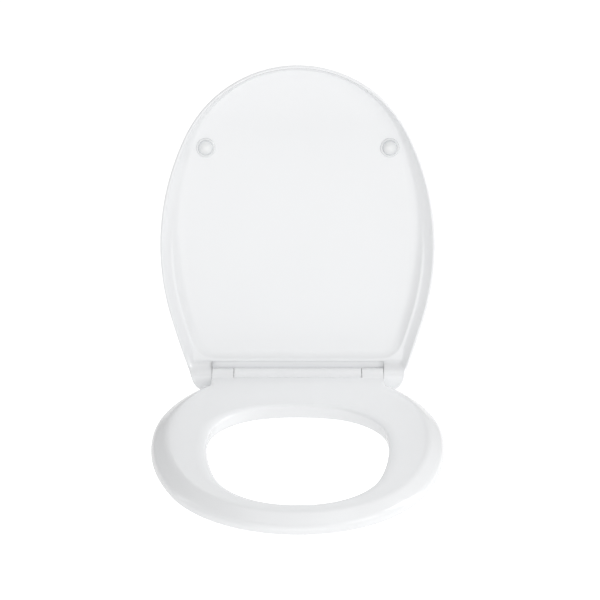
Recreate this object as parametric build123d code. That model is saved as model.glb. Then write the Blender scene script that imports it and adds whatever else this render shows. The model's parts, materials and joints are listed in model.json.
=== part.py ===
from build123d import *
from math import acos, asin, atan2, cos, degrees, hypot, radians, sin, sqrt
import os

# Toilet seat with lid: a moulded ring and lid on one soft-close hinge bar, with eccentric bowl fixings.
# Frame, in millimetres: +Z up, the front of the seat towards -Y, +X to the right seen from the front.
# The origin lies on the bowl's top, midway between the two fixing bolts. The hinge axis runs along X over it.
# The lid is drawn closed and then turned up about the hinge axis to where it rests open.

# Hinge axis
HINGE_HEIGHT = 24.0
LID_OPEN_ANGLE = 102.0

# Plan outline shared by lid and ring, as distances forward of the hinge axis
LID_LENGTH = 424.0
LID_HALF_WIDTH = 187.5
WIDEST_AT = 178.0
SIDE_RADIUS = 340.0
LID_TAIL_AT = 85.0
LID_TAIL_RADIUS = 1100.0
LID_BEHIND_AXIS = 20.0
LID_CORNER_RADIUS = 22.0
RING_INSET = 2.5

# Lid section, heights from the hinge axis
LID_LIP_HEIGHT = -1.0
LID_CROWN_HEIGHT = 17.5
LID_EDGE_WIDTH = 9.0
LID_EDGE_DROP = 3.75
LID_EDGE_EASE = 4.0
LID_SKIN = 5.0
LID_LIP_WIDTH = 3.0
LID_BAND_WIDTH = 12.0
LID_BAND_RISE = 7.0
LID_PANEL_REAR = 24.4
LID_PANEL_CORNER = 30.0
LID_PANEL_COVE = 3.4

# Pocket of the lid over the hinge bar
POCKET_FRONT = 20.0
POCKET_ROOF_FRONT = 9.5
POCKET_ROOF_HEIGHT = 12.9
HOOD_BEHIND_AXIS = 9.0
LUG_RADIUS = 10.5
LUG_INSET = 1.5

# Lid buffers, placed from the lid's front and from the panel's edge
LID_BUFFER_FROM_FRONT = 110.5
LID_BUFFER_MARGIN = 0.3
LID_BUFFER_RADIUS = 12.5
LID_BUFFER_FLANGE = 3.2
LID_BUFFER_RIM = 3.2
LID_BUFFER_GROOVE_SLOPE = 1.6
LID_BUFFER_GROOVE_DEPTH = 1.4
LID_BUFFER_DOME_RADIUS = 6.4
LID_BUFFER_SHOULDER_RADIUS = 5.2
LID_BUFFER_SHOULDER_DROP = 2.0
LID_BUFFER_TIP_RADIUS = 2.2
LID_BUFFER_PEG_RADIUS = 2.5
LID_BUFFER_PEG = 3.0
BUFFER_GAP = 0.3

# Seat ring, heights from the hinge axis
RING_TOP = 4.0
RING_DEPTH = 20.0
BEVEL_WIDTH = 18.0
BEVEL_DROP = 11.0
BEVEL_EASE = 4.5
SHOULDER_AT = 165.0
SHOULDER_X = 118.0
RING_REAR = 12.0
RING_REAR_CUT_DOWN = 5.0
RING_REAR_CUT_RUN = 8.0

# Hole of the ring, given by how wide the ring is at its front and at its widest side
RING_FRONT_WIDTH = 38.0
RING_SIDE_WIDTH = 72.0
HOLE_REAR = 106.0
HOLE_WIDEST_AT = 215.0
HOLE_SIDE_RADIUS = 330.0
HOLE_REAR_RADIUS = 200.0
HOLE_CORNER_RADIUS = 90.0
HOLE_EDGE = 3.0

# Hollow underside of the ring
CHANNEL_ROOF = 7.0
CHANNEL_OUTER_WALL = 13.0
CHANNEL_INNER_WALL = 8.0
CHANNEL_REAR = 25.0
RIB_THICKNESS = 3.0
RIB_SPACING = 66.0
BRIDGE_RIB_LENGTH = 120.0

# Seat buffers, placed from the lid's front and widest side, with a turn about the vertical
FRONT_BUFFER_FROM_FRONT = 86.0
FRONT_BUFFER_INSET = 26.5
REAR_BUFFER_FORWARD = 108.0
REAR_BUFFER_FROM_SIDE = 59.5
REAR_BUFFER_TURN = 100.0
BUFFER_LENGTH = 36.0
BUFFER_WIDTH = 14.0
BUFFER_EDGE = 2.0
BUFFER_PEG_RADIUS = 3.0
BUFFER_PEG = 8.0
BUFFER_BOSS_WALL = 3.0

# Hinge bar
BARREL_RADIUS = 11.5
BARREL_HALF_LENGTH = 87.4
BARREL_EDGE = 0.6
EAR_WIDTH = 29.4
EAR_BLEND = 10.0
EAR_ROOT = 32.0
SIDE_GAP = 0.7
TURNING_GAP = 0.5
CORE_HALF_LENGTH = 40.0
CORE_WIDTH = 13.0
CORE_ROOF = 4.5
CORE_RIB_AT = 14.0

# Dampers and hinge pins
DAMPER_RADIUS = 7.5
DAMPER_LENGTH = 41.5
DAMPER_RECESS = 0.3
DAMPER_KEY_WIDTH = 2.0
DAMPER_KEY_HEIGHT = 1.2
PIN_RADIUS = 4.0
PIN_FLATS = 6.0
PIN_IN_DAMPER = 14.0
PIN_IN_LUG = 20.0
PIN_CHAMFER = 0.6
RUNNING_CLEARANCE = 0.05
PRESS_CLEARANCE = 0.03

# Feet of the hinge bar, over the clip posts
BOLT_SPACING = 155.0
POST_OFFSET = 15.0
FOOT_WIDTH = 28.0
FOOT_FRONT = 7.5
FOOT_REAR = 9.5
FOOT_CORNER = 3.0
FOOT_LIFT = 0.2
POST_RADIUS = 5.0
POST_GROOVE_RADIUS = 3.5
POST_GROOVE_START = 3.9
POST_GROOVE = 2.2
POST_HEIGHT = 8.3
POST_CHAMFER = 1.0
SOCKET_HEADROOM = 0.5

# Release buttons, sliding latches in the feet
LATCH_THICKNESS = 1.6
LATCH_WIDTH = 16.0
LATCH_REAR = 4.3
LATCH_CLEARANCE = 0.15
LATCH_NECK_CLEARANCE = 0.1
LATCH_TRAVEL = 3.2
BUTTON_WIDTH = 13.0
BUTTON_HEIGHT = 5.4
BUTTON_DEPTH = 3.0
BUTTON_EDGE = 0.8
BUTTON_CLEARANCE = 0.3
SPRING_THICKNESS = 0.4
SPRING_WIDTH = 12.0
SPRING_HEIGHT = 1.4
SPRING_SEAT = 7.9

# Base discs and gaskets on the bowl
GASKET_RADIUS = 23.5
GASKET_BORE = 5.0
GASKET_THICKNESS = 1.5
DISC_RADIUS = 24.0
DISC_THICKNESS = 3.5
DISC_EDGE = 1.0
DISC_BORE = 3.3
COUNTERSINK_CLEARANCE = 0.2

# Fixing bolts, washers and wing nuts
BOLT_RADIUS = 3.0
BOLT_NECK_RADIUS = 2.7
BOLT_THREAD_RADIUS = 2.75
BOLT_HEAD_RADIUS = 6.0
BOLT_HEAD_LAND = 0.3
BOLT_TOP_SINK = 0.1
BOLT_TIP = 36.0
BOLT_TIP_CHAMFER = 0.8
BOLT_SOCKET = 4.0
BOLT_SOCKET_DEPTH = 2.0
BOWL_THICKNESS = 15.0
SHANK_MARGIN = 0.4
WASHER_RADIUS = 11.0
WASHER_NOSE_RADIUS = 8.0
WASHER_FLANGE = 3.0
WASHER_HEIGHT = 4.5
NUT_RADIUS = 8.0
NUT_HEIGHT = 10.5
NUT_BORE_CLEARANCE = 0.1
NUT_EDGE = 1.0
WING_LENGTH = 9.0
WING_THICKNESS = 3.5
WING_EDGE = 1.2

SIDES = {"left": -1, "right": 1}
HINGE_AXIS = Axis((0, 0, HINGE_HEIGHT), (1, 0, 0))

# Places worked out from the sizes above
EAR_INNER = BARREL_HALF_LENGTH + SIDE_GAP
EAR_OUTER = EAR_INNER + EAR_WIDTH
LUG_INNER = EAR_OUTER + SIDE_GAP
RING_TOP_Z = HINGE_HEIGHT + RING_TOP
RING_BOTTOM_Z = RING_TOP_Z - RING_DEPTH
LIP_Z = HINGE_HEIGHT + LID_LIP_HEIGHT
CREASE_Z = LIP_Z + LID_BAND_RISE
CROWN_Z = HINGE_HEIGHT + LID_CROWN_HEIGHT
PANEL_Z = CROWN_Z - LID_SKIN
LID_PANEL_INSET = LID_LIP_WIDTH + LID_BAND_WIDTH
LID_BUFFER_INSET = LID_PANEL_INSET + LID_PANEL_COVE + LID_BUFFER_MARGIN + LID_BUFFER_RADIUS
HOLE_HALF_WIDTH = LID_HALF_WIDTH - RING_INSET - RING_SIDE_WIDTH
HOLE_FRONT = LID_LENGTH - RING_INSET - RING_FRONT_WIDTH
DISC_TOP_Z = GASKET_THICKNESS + DISC_THICKNESS
POST_X = BOLT_SPACING / 2 - POST_OFFSET
GROOVE_Z = DISC_TOP_Z + POST_GROOVE_START
LATCH_Z = GROOVE_Z + (POST_GROOVE - LATCH_THICKNESS) / 2
BUTTON_REAR = POST_RADIUS + LATCH_TRAVEL + LATCH_CLEARANCE


def end_radius(side_radius, half_width, reach):
    """Radius of an end arc, centred on the mid-line, that runs tangent into the side arc."""
    across = side_radius - half_width
    return (side_radius**2 - across**2 - reach**2) / (2 * (side_radius - reach))


def polar(centre, radius, angle):
    """Point at an angle, in degrees, on a circle."""
    return (centre[0] + radius * cos(radians(angle)), centre[1] + radius * sin(radians(angle)))


def arc(centre, radius, start, end):
    """Arc about a centre from one angle to another, in degrees."""
    return CenterArc(centre, radius, start, end - start)


def mirrored_face(half, straight_rear=False):
    """Face bounded by a half outline on the right, its mirror image and, if asked, a straight end."""
    edges = half + [mirror(edge, Plane.YZ) for edge in half]
    if straight_rear:
        corner = half[-1] @ 1
        edges.append(Line((corner.X, corner.Y), (-corner.X, corner.Y)))
    return make_face(edges)


SIDE_CENTRE = (LID_HALF_WIDTH - SIDE_RADIUS, -WIDEST_AT)
FRONT_RADIUS = end_radius(SIDE_RADIUS, LID_HALF_WIDTH, LID_LENGTH - WIDEST_AT)
FRONT_CENTRE = (0.0, FRONT_RADIUS - LID_LENGTH)
FRONT_ANGLE = -degrees(asin((SIDE_CENTRE[1] - FRONT_CENTRE[1]) / (SIDE_RADIUS - FRONT_RADIUS)))


def nose_and_side(inset, rear_angle):
    """Front arc and side arc of the shared outline on the right, moved in by inset."""
    nose = arc(FRONT_CENTRE, FRONT_RADIUS - inset, -90, FRONT_ANGLE)
    side = arc(SIDE_CENTRE, SIDE_RADIUS - inset, FRONT_ANGLE, rear_angle)
    return [nose, side]


def outline_point(inset, from_front):
    """Point on the right of the shared outline moved in by inset, and the outward direction there."""
    y = from_front - LID_LENGTH
    centre, radius = FRONT_CENTRE, FRONT_RADIUS - inset
    if y > polar(centre, radius, FRONT_ANGLE)[1]:
        centre, radius = SIDE_CENTRE, SIDE_RADIUS - inset
    angle = degrees(asin((y - centre[1]) / radius))
    return polar(centre, radius, angle), angle


def lid_plan(inset, rear, corner):
    """Lid outline moved in by inset, with a straight rear edge and rounded rear corners."""
    tail_angle = degrees(asin((WIDEST_AT - LID_TAIL_AT) / SIDE_RADIUS))
    centre = polar(SIDE_CENTRE, SIDE_RADIUS - LID_TAIL_RADIUS, tail_angle)
    radius = LID_TAIL_RADIUS - inset
    tail = arc(centre, radius, tail_angle, degrees(asin((rear - centre[1]) / radius)))
    outline = mirrored_face(nose_and_side(inset, tail_angle) + [tail], straight_rear=True)
    return fillet(outline.vertices().group_by(Axis.Y)[-1], corner)


def ring_plan(inset):
    """Ring outline moved in by inset: nose, sides, shoulder arcs towards the ears, straight rear edge."""
    inset = inset + RING_INSET
    shoulder_angle = degrees(asin((WIDEST_AT - SHOULDER_AT) / SIDE_RADIUS))
    touch = polar(SIDE_CENTRE, SIDE_RADIUS - RING_INSET, shoulder_angle)
    to_corner = (touch[0] - SHOULDER_X, touch[1] + RING_REAR)
    along = to_corner[0] * cos(radians(shoulder_angle)) + to_corner[1] * sin(radians(shoulder_angle))
    radius = hypot(*to_corner) ** 2 / (2 * along)
    centre = polar(touch, -radius, shoulder_angle)
    radius = radius - (inset - RING_INSET)
    end_angle = degrees(asin((-RING_REAR - centre[1]) / radius))
    shoulder = arc(centre, radius, shoulder_angle, end_angle)
    return mirrored_face(nose_and_side(inset, shoulder_angle) + [shoulder], straight_rear=True)


def heading(start, end):
    """Direction from one point to another, in degrees."""
    return degrees(atan2(end[1] - start[1], end[0] - start[0]))


def corner_centre(first, first_radius, second, second_radius, radius):
    """Centre of a corner arc inside two larger arcs, to the left of the way from first to second."""
    first_reach = first_radius - radius
    second_reach = second_radius - radius
    apart = hypot(second[0] - first[0], second[1] - first[1])
    along = (first_reach**2 - second_reach**2 + apart**2) / (2 * apart)
    turn = degrees(acos(along / first_reach))
    return polar(first, first_reach, heading(first, second) + turn)


def hole_plan(grow):
    """Outline of the hole moved out by grow: front, side, corner and rear arcs that run into each other."""
    front_reach = HOLE_FRONT - HOLE_WIDEST_AT
    front_radius = end_radius(HOLE_SIDE_RADIUS, HOLE_HALF_WIDTH, front_reach)
    front = (0.0, front_radius - HOLE_FRONT)
    side = (HOLE_HALF_WIDTH - HOLE_SIDE_RADIUS, -HOLE_WIDEST_AT)
    rear = (0.0, -HOLE_REAR - HOLE_REAR_RADIUS)
    corner = corner_centre(side, HOLE_SIDE_RADIUS, rear, HOLE_REAR_RADIUS, HOLE_CORNER_RADIUS)
    half = [
        arc(front, front_radius + grow, -90, heading(side, front)),
        arc(side, HOLE_SIDE_RADIUS + grow, heading(side, front), heading(side, corner)),
        arc(corner, HOLE_CORNER_RADIUS + grow, heading(side, corner), heading(rear, corner)),
        arc(rear, HOLE_REAR_RADIUS + grow, heading(rear, corner), 90),
    ]
    return mirrored_face(half)


def raised(sketch, bottom, top):
    """Prism of a plan sketch between two heights."""
    return extrude(Pos(0, 0, bottom) * sketch, top - bottom, dir=(0, 0, 1))


def along_x(profile, start, end):
    """Prism along X of a side profile drawn as (forward distance, height from the hinge axis)."""
    plane = Plane(origin=(start, 0, HINGE_HEIGHT), x_dir=(0, -1, 0), z_dir=(-1, 0, 0))
    return extrude(plane * profile, end - start, dir=(1, 0, 0))


def x_rod(radius, start, end):
    """Round rod on the hinge axis."""
    return Pos((start + end) / 2, 0, HINGE_HEIGHT) * Rot(0, 90, 0) * Cylinder(radius, end - start)


def pin_section(radius, flats):
    """Round section with two flats, drawn across the hinge axis."""
    return Circle(radius) & Rectangle(2 * radius, flats)


def keyed_rod(radius, flats, start, end):
    """Rod on the hinge axis with two flats."""
    plane = Plane(origin=(start, 0, HINGE_HEIGHT), x_dir=(0, 1, 0), z_dir=(1, 0, 0))
    return extrude(plane * pin_section(radius, flats), end - start, dir=(1, 0, 0))


def place_open(solid):
    """Turn a solid of the closed lid to where the lid rests open."""
    return solid.rotate(HINGE_AXIS, -LID_OPEN_ANGLE)


def lid_pocket():
    """Space under the hood, swept along the hinge bar between the lugs."""
    far = HINGE_HEIGHT + BARREL_RADIUS
    outline = Polyline(
        (-far, -far),
        (POCKET_FRONT, -far),
        (POCKET_FRONT, LID_LIP_HEIGHT + LID_BAND_RISE),
        (POCKET_ROOF_FRONT, POCKET_ROOF_HEIGHT),
        (-far, POCKET_ROOF_HEIGHT),
        close=True,
    )
    return along_x(make_face(outline), -LUG_INNER, LUG_INNER)


def make_lid():
    """Shell with a sloped band inside its rim, a recessed panel, the pocket and two bored lugs."""
    plan = lid_plan(0, LID_BEHIND_AXIS, LID_CORNER_RADIUS)
    shell = raised(plan, LIP_Z, CROWN_Z)
    crown = shell.faces().sort_by(Axis.Z)[-1]
    shell = chamfer(crown.edges(), LID_EDGE_WIDTH, LID_EDGE_DROP, reference=crown)
    edge_foot = shell.edges().filter_by(Plane.XY).group_by(Axis.Z)[1]
    shell = chamfer(edge_foot, LID_EDGE_EASE)

    mouth = lid_plan(LID_LIP_WIDTH, LID_BEHIND_AXIS - LID_LIP_WIDTH, LID_CORNER_RADIUS - LID_LIP_WIDTH)
    hollow = raised(mouth, LIP_Z - LID_LIP_WIDTH, CREASE_Z)
    roof = hollow.faces().sort_by(Axis.Z)[-1]
    shell -= chamfer(roof.edges(), LID_BAND_WIDTH, LID_BAND_RISE, reference=roof)

    panel = raised(lid_plan(LID_PANEL_INSET, -LID_PANEL_REAR, LID_PANEL_CORNER), LIP_Z, PANEL_Z)
    shell -= chamfer(panel.faces().sort_by(Axis.Z)[-1].edges(), LID_PANEL_COVE)

    shell -= lid_pocket()
    behind = Pos(0, HOOD_BEHIND_AXIS + LID_BEHIND_AXIS, HINGE_HEIGHT)
    shell -= behind * Box(2 * LUG_INNER, 2 * LID_BEHIND_AXIS, 2 * LID_CROWN_HEIGHT)

    lug_plan = lid_plan(LUG_INSET, LID_BEHIND_AXIS - LUG_INSET, LID_CORNER_RADIUS - LUG_INSET)
    lug_bounds = raised(lug_plan, 0, HINGE_HEIGHT + LUG_RADIUS)
    for way in SIDES.values():
        lug = x_rod(LUG_RADIUS, *sorted((way * LUG_INNER, way * LID_HALF_WIDTH))) & lug_bounds
        shell += lug
    shell -= x_rod(PIN_RADIUS + RUNNING_CLEARANCE, -LUG_INNER - PIN_IN_LUG, -LUG_INNER)
    pin_room = (PIN_RADIUS + PRESS_CLEARANCE, PIN_FLATS + 2 * PRESS_CLEARANCE)
    shell -= keyed_rod(*pin_room, LUG_INNER, LUG_INNER + PIN_IN_LUG)

    peg_hole = Cylinder(LID_BUFFER_PEG_RADIUS + PRESS_CLEARANCE, 2 * LID_BUFFER_PEG)
    (x, y), _ = outline_point(LID_BUFFER_INSET, LID_BUFFER_FROM_FRONT)
    for way in SIDES.values():
        shell -= Pos(way * x, y, PANEL_Z) * peg_hole
    return place_open(shell)


def make_lid_buffer(way):
    """Round pad: rimmed flange, groove and a dome that meets the ring, with a peg in the panel."""
    height = PANEL_Z - RING_TOP_Z - BUFFER_GAP
    groove_outer = LID_BUFFER_RADIUS - LID_BUFFER_RIM
    groove_floor = LID_BUFFER_FLANGE - LID_BUFFER_GROOVE_DEPTH
    outline = Polyline(
        (0, -LID_BUFFER_PEG),
        (LID_BUFFER_PEG_RADIUS, -LID_BUFFER_PEG),
        (LID_BUFFER_PEG_RADIUS, 0),
        (LID_BUFFER_RADIUS, 0),
        (LID_BUFFER_RADIUS, LID_BUFFER_FLANGE),
        (groove_outer, LID_BUFFER_FLANGE),
        (groove_outer - LID_BUFFER_GROOVE_SLOPE, groove_floor),
        (LID_BUFFER_DOME_RADIUS, groove_floor),
        (LID_BUFFER_SHOULDER_RADIUS, height - LID_BUFFER_SHOULDER_DROP),
        (LID_BUFFER_TIP_RADIUS, height),
        (0, height),
        close=True,
    )
    pad = revolve(Plane.XZ * make_face(outline), Axis.Z)
    (x, y), _ = outline_point(LID_BUFFER_INSET, LID_BUFFER_FROM_FRONT)
    return place_open(Pos(way * x, y, PANEL_Z) * Rot(180, 0, 0) * pad)


def seat_buffer_places():
    """Name, X, Y and turn of each pad under the ring."""
    front, front_angle = outline_point(FRONT_BUFFER_INSET, FRONT_BUFFER_FROM_FRONT)
    rear = (LID_HALF_WIDTH - REAR_BUFFER_FROM_SIDE, -REAR_BUFFER_FORWARD)
    for row, (x, y), turn in (("front", front, front_angle + 90), ("rear", rear, REAR_BUFFER_TURN)):
        for side, way in SIDES.items():
            yield f"{row}_{side}", way * x, y, way * turn


def channel_plan():
    """Hollow areas of the ring's underside, between its walls, ribs and buffer bosses."""
    plan = ring_plan(CHANNEL_OUTER_WALL) - hole_plan(CHANNEL_INNER_WALL)
    plan -= Pos(0, -CHANNEL_REAR / 2) * Rectangle(2 * LID_HALF_WIDTH, CHANNEL_REAR)
    for step in (-1, 0, 1):
        rib = Rectangle(RIB_THICKNESS, BRIDGE_RIB_LENGTH)
        plan -= Pos(step * RIB_SPACING, -CHANNEL_REAR - BRIDGE_RIB_LENGTH / 2) * rib
    for _, x, y, turn in seat_buffer_places():
        boss = SlotOverall(BUFFER_LENGTH, BUFFER_WIDTH + 2 * BUFFER_BOSS_WALL)
        plan -= Pos(x, y) * Rot(0, 0, turn) * boss
    return plan


def make_ear(way):
    """Ear of the ring: round on the hinge axis, blended forward into the ring's top."""
    block = Pos(EAR_ROOT / 2, RING_TOP - RING_DEPTH / 2) * Rectangle(EAR_ROOT, RING_DEPTH)
    bottom = RING_TOP - RING_DEPTH
    cut = Polyline((0, -BARREL_RADIUS), (RING_REAR, bottom), (0, bottom), close=True)
    profile = Circle(BARREL_RADIUS) + (block - make_face(cut))
    meet_x = sqrt(BARREL_RADIUS**2 - RING_TOP**2)
    corner = profile.vertices().sort_by_distance((meet_x, RING_TOP))[0]
    profile = fillet(corner, EAR_BLEND)
    return along_x(profile, *sorted((way * EAR_INNER, way * EAR_OUTER)))


def make_ring():
    """Bevelled ring with a hollow underside, an oval hole and two bored ears."""
    ring = raised(ring_plan(0), RING_BOTTOM_Z, RING_TOP_Z)
    top = ring.faces().sort_by(Axis.Z)[-1]
    ring = chamfer(top.edges().filter_by(GeomType.CIRCLE), BEVEL_WIDTH, BEVEL_DROP, reference=top)
    bevel_foot = ring.edges().filter_by(GeomType.CIRCLE).group_by(Axis.Z)[1]
    ring = chamfer(bevel_foot, BEVEL_EASE)

    ring -= raised(hole_plan(0), RING_BOTTOM_Z, RING_TOP_Z)
    hole_edges = ring.faces().sort_by(Axis.Z)[-1].inner_wires()[0].edges()
    ring = chamfer(hole_edges, HOLE_EDGE)

    channel = raised(channel_plan(), RING_BOTTOM_Z, RING_TOP_Z - CHANNEL_ROOF)
    ring -= channel

    ear_room = Pos(EAR_ROOT / 2, RING_TOP - RING_DEPTH / 2) * Rectangle(EAR_ROOT, RING_DEPTH)
    for way in SIDES.values():
        ring -= along_x(ear_room, *sorted((way * EAR_INNER, way * EAR_OUTER)))
        ring += make_ear(way)
    ring -= x_rod(BARREL_RADIUS + TURNING_GAP, -EAR_INNER, EAR_INNER)
    relief = Polyline(
        (0, -RING_REAR_CUT_DOWN),
        (RING_REAR, -RING_REAR_CUT_DOWN),
        (RING_REAR + RING_REAR_CUT_RUN, RING_TOP - RING_DEPTH),
        (0, RING_TOP - RING_DEPTH),
        close=True,
    )
    ring -= along_x(make_face(relief), -EAR_INNER, EAR_INNER)
    ring -= x_rod(PIN_RADIUS + RUNNING_CLEARANCE, EAR_INNER, EAR_OUTER)
    ring -= keyed_rod(PIN_RADIUS + PRESS_CLEARANCE, PIN_FLATS + 2 * PRESS_CLEARANCE, -EAR_OUTER, -EAR_INNER)
    for _, x, y, _ in seat_buffer_places():
        ring -= Pos(x, y, RING_BOTTOM_Z) * Cylinder(BUFFER_PEG_RADIUS + PRESS_CLEARANCE, 2 * BUFFER_PEG)
    return ring


def make_seat_buffer(x, y, turn):
    """Long soft pad under the ring, with a peg up into its boss."""
    pad = extrude(SlotOverall(BUFFER_LENGTH, BUFFER_WIDTH), RING_BOTTOM_Z)
    pad = chamfer(pad.edges().group_by(Axis.Z)[0], BUFFER_EDGE)
    peg = Pos(0, 0, RING_BOTTOM_Z + BUFFER_PEG / 2) * Cylinder(BUFFER_PEG_RADIUS, BUFFER_PEG)
    return Pos(x, y) * Rot(0, 0, turn) * (pad + peg)


def make_barrel():
    """Hinge bar: round housing, damper bore in each end, cored middle and two feet with latch slots."""
    foot_bottom = DISC_TOP_Z + FOOT_LIFT
    barrel = x_rod(BARREL_RADIUS, -BARREL_HALF_LENGTH, BARREL_HALF_LENGTH)
    ends = barrel.edges().filter_by(GeomType.CIRCLE)
    barrel = chamfer(ends, BARREL_EDGE)
    foot_depth = FOOT_FRONT + FOOT_REAR
    for way in SIDES.values():
        foot = RectangleRounded(FOOT_WIDTH, foot_depth, FOOT_CORNER)
        foot = Pos(way * POST_X, (FOOT_REAR - FOOT_FRONT) / 2) * foot
        barrel += raised(foot, foot_bottom, HINGE_HEIGHT)

    core = Pos(0, 0, CORE_ROOF / 2) * Box(2 * CORE_HALF_LENGTH, CORE_WIDTH, 2 * BARREL_RADIUS - CORE_ROOF)
    core = Pos(0, 0, HINGE_HEIGHT - CORE_ROOF) * core
    for step in (-1, 1):
        core -= Pos(step * CORE_RIB_AT, 0, HINGE_HEIGHT) * Box(RIB_THICKNESS, CORE_WIDTH, 4 * BARREL_RADIUS)
    barrel -= core

    bore_radius = DAMPER_RADIUS + PRESS_CLEARANCE
    bore_end = BARREL_HALF_LENGTH - DAMPER_RECESS - DAMPER_LENGTH - PRESS_CLEARANCE
    key_height = DAMPER_RADIUS + DAMPER_KEY_HEIGHT + PRESS_CLEARANCE
    for way in SIDES.values():
        span = sorted((way * bore_end, way * BARREL_HALF_LENGTH))
        barrel -= x_rod(bore_radius, *span)
        keyway = Box(span[1] - span[0], DAMPER_KEY_WIDTH + 2 * PRESS_CLEARANCE, key_height)
        barrel -= Pos(sum(span) / 2, 0, HINGE_HEIGHT + key_height / 2) * keyway

        socket_top = DISC_TOP_Z + POST_HEIGHT + SOCKET_HEADROOM
        socket = Circle(POST_RADIUS + RUNNING_CLEARANCE)
        barrel -= Pos(way * POST_X, 0) * raised(socket, 0, socket_top)
        room = 2 * LATCH_CLEARANCE
        slot = Box(LATCH_WIDTH + room, FOOT_FRONT + SPRING_SEAT, LATCH_THICKNESS + room)
        barrel -= Pos(way * POST_X, (SPRING_SEAT - FOOT_FRONT) / 2, LATCH_Z + LATCH_THICKNESS / 2) * slot
        pocket_depth = LATCH_TRAVEL + BUTTON_EDGE
        mouth = Box(BUTTON_WIDTH + 2 * BUTTON_CLEARANCE, pocket_depth, BUTTON_HEIGHT + 2 * BUTTON_CLEARANCE)
        barrel -= Pos(way * POST_X, pocket_depth / 2 - FOOT_FRONT, LATCH_Z + LATCH_THICKNESS / 2) * mouth
    return barrel


def make_damper(way):
    """Rotary damper cartridge with an anti-turn key and a blind hole for its pin."""
    outer = BARREL_HALF_LENGTH - DAMPER_RECESS
    span = sorted((way * (outer - DAMPER_LENGTH), way * outer))
    body = x_rod(DAMPER_RADIUS, *span)
    key_height = DAMPER_RADIUS + DAMPER_KEY_HEIGHT
    key = Box(DAMPER_LENGTH, DAMPER_KEY_WIDTH, key_height)
    body += Pos(sum(span) / 2, 0, HINGE_HEIGHT + key_height / 2) * key
    hole = sorted((way * (outer - PIN_IN_DAMPER), way * outer))
    return body - x_rod(PIN_RADIUS + RUNNING_CLEARANCE, *hole)


def make_pin(way, keyed_from, keyed_to):
    """Hinge pin from inside its damper to inside the lid's lug, with two flats where it is keyed."""
    start = BARREL_HALF_LENGTH - DAMPER_RECESS - PIN_IN_DAMPER + RUNNING_CLEARANCE
    end = LUG_INNER + PIN_IN_LUG - 2 * RUNNING_CLEARANCE
    pin = x_rod(PIN_RADIUS, *sorted((way * start, way * end)))
    pin = chamfer(pin.edges().filter_by(GeomType.CIRCLE), PIN_CHAMFER)
    middle = way * (keyed_from + keyed_to) / 2
    waste = Box(keyed_to - keyed_from, 2 * PIN_RADIUS, PIN_RADIUS)
    for up in (-1, 1):
        pin -= Pos(middle, 0, HINGE_HEIGHT + up * (PIN_FLATS + PIN_RADIUS) / 2) * waste
    return pin


def make_button(way):
    """Latch plate with a keyhole round the post's groove, and the push button on its front."""
    plate = Pos(0, (LATCH_REAR - BUTTON_REAR) / 2) * Rectangle(LATCH_WIDTH, LATCH_REAR + BUTTON_REAR)
    neck_radius = POST_GROOVE_RADIUS + LATCH_NECK_CLEARANCE
    mouth_y = -LATCH_TRAVEL
    plate -= Pos(0, mouth_y) * Circle(POST_RADIUS + LATCH_NECK_CLEARANCE)
    plate -= Circle(neck_radius)
    plate -= Pos(0, mouth_y / 2) * Rectangle(2 * neck_radius, LATCH_TRAVEL)
    latch = raised(plate, LATCH_Z, LATCH_Z + LATCH_THICKNESS)
    cap = Box(BUTTON_WIDTH, BUTTON_DEPTH, BUTTON_HEIGHT)
    cap = fillet(cap.faces().sort_by(Axis.Y)[0].edges(), BUTTON_EDGE)
    latch += Pos(0, -BUTTON_REAR - BUTTON_DEPTH / 2, LATCH_Z + LATCH_THICKNESS / 2) * cap
    return Pos(way * POST_X, 0) * latch


def make_latch_spring(way):
    """Bowed leaf spring between the latch's rear edge and the foot's rear wall."""
    bow = SPRING_SEAT - LATCH_REAR - SPRING_THICKNESS - 2 * PRESS_CLEARANCE
    half = SPRING_WIDTH / 2
    crown_y = LATCH_REAR + PRESS_CLEARANCE
    outer = ThreePointArc((-half, crown_y + bow), (0, crown_y), (half, crown_y + bow))
    inner = Pos(0, SPRING_THICKNESS) * outer
    ends = [Line(outer @ 0, inner @ 0), Line(outer @ 1, inner @ 1)]
    strip = raised(make_face([outer, inner] + ends), LATCH_Z, LATCH_Z + SPRING_HEIGHT)
    return Pos(way * POST_X, 0) * strip


def turned(points, x):
    """Solid turned about a vertical line at x from a half section of (radius, height) points."""
    return Pos(x, 0) * revolve(Plane.XZ * make_face(Polyline(*points, close=True)), Axis.Z)


def make_post(way):
    """Grooved clip post, riveted into the base disc."""
    groove_end = GROOVE_Z + POST_GROOVE
    top = DISC_TOP_Z + POST_HEIGHT
    points = [
        (0, GASKET_THICKNESS),
        (POST_GROOVE_RADIUS, GASKET_THICKNESS),
        (POST_GROOVE_RADIUS, DISC_TOP_Z),
        (POST_RADIUS, DISC_TOP_Z),
        (POST_RADIUS, GROOVE_Z),
        (POST_GROOVE_RADIUS, GROOVE_Z),
        (POST_GROOVE_RADIUS, groove_end),
        (POST_RADIUS, groove_end),
        (POST_RADIUS, top - POST_CHAMFER),
        (POST_RADIUS - POST_CHAMFER, top),
        (0, top),
    ]
    return turned(points, way * POST_X)


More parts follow.
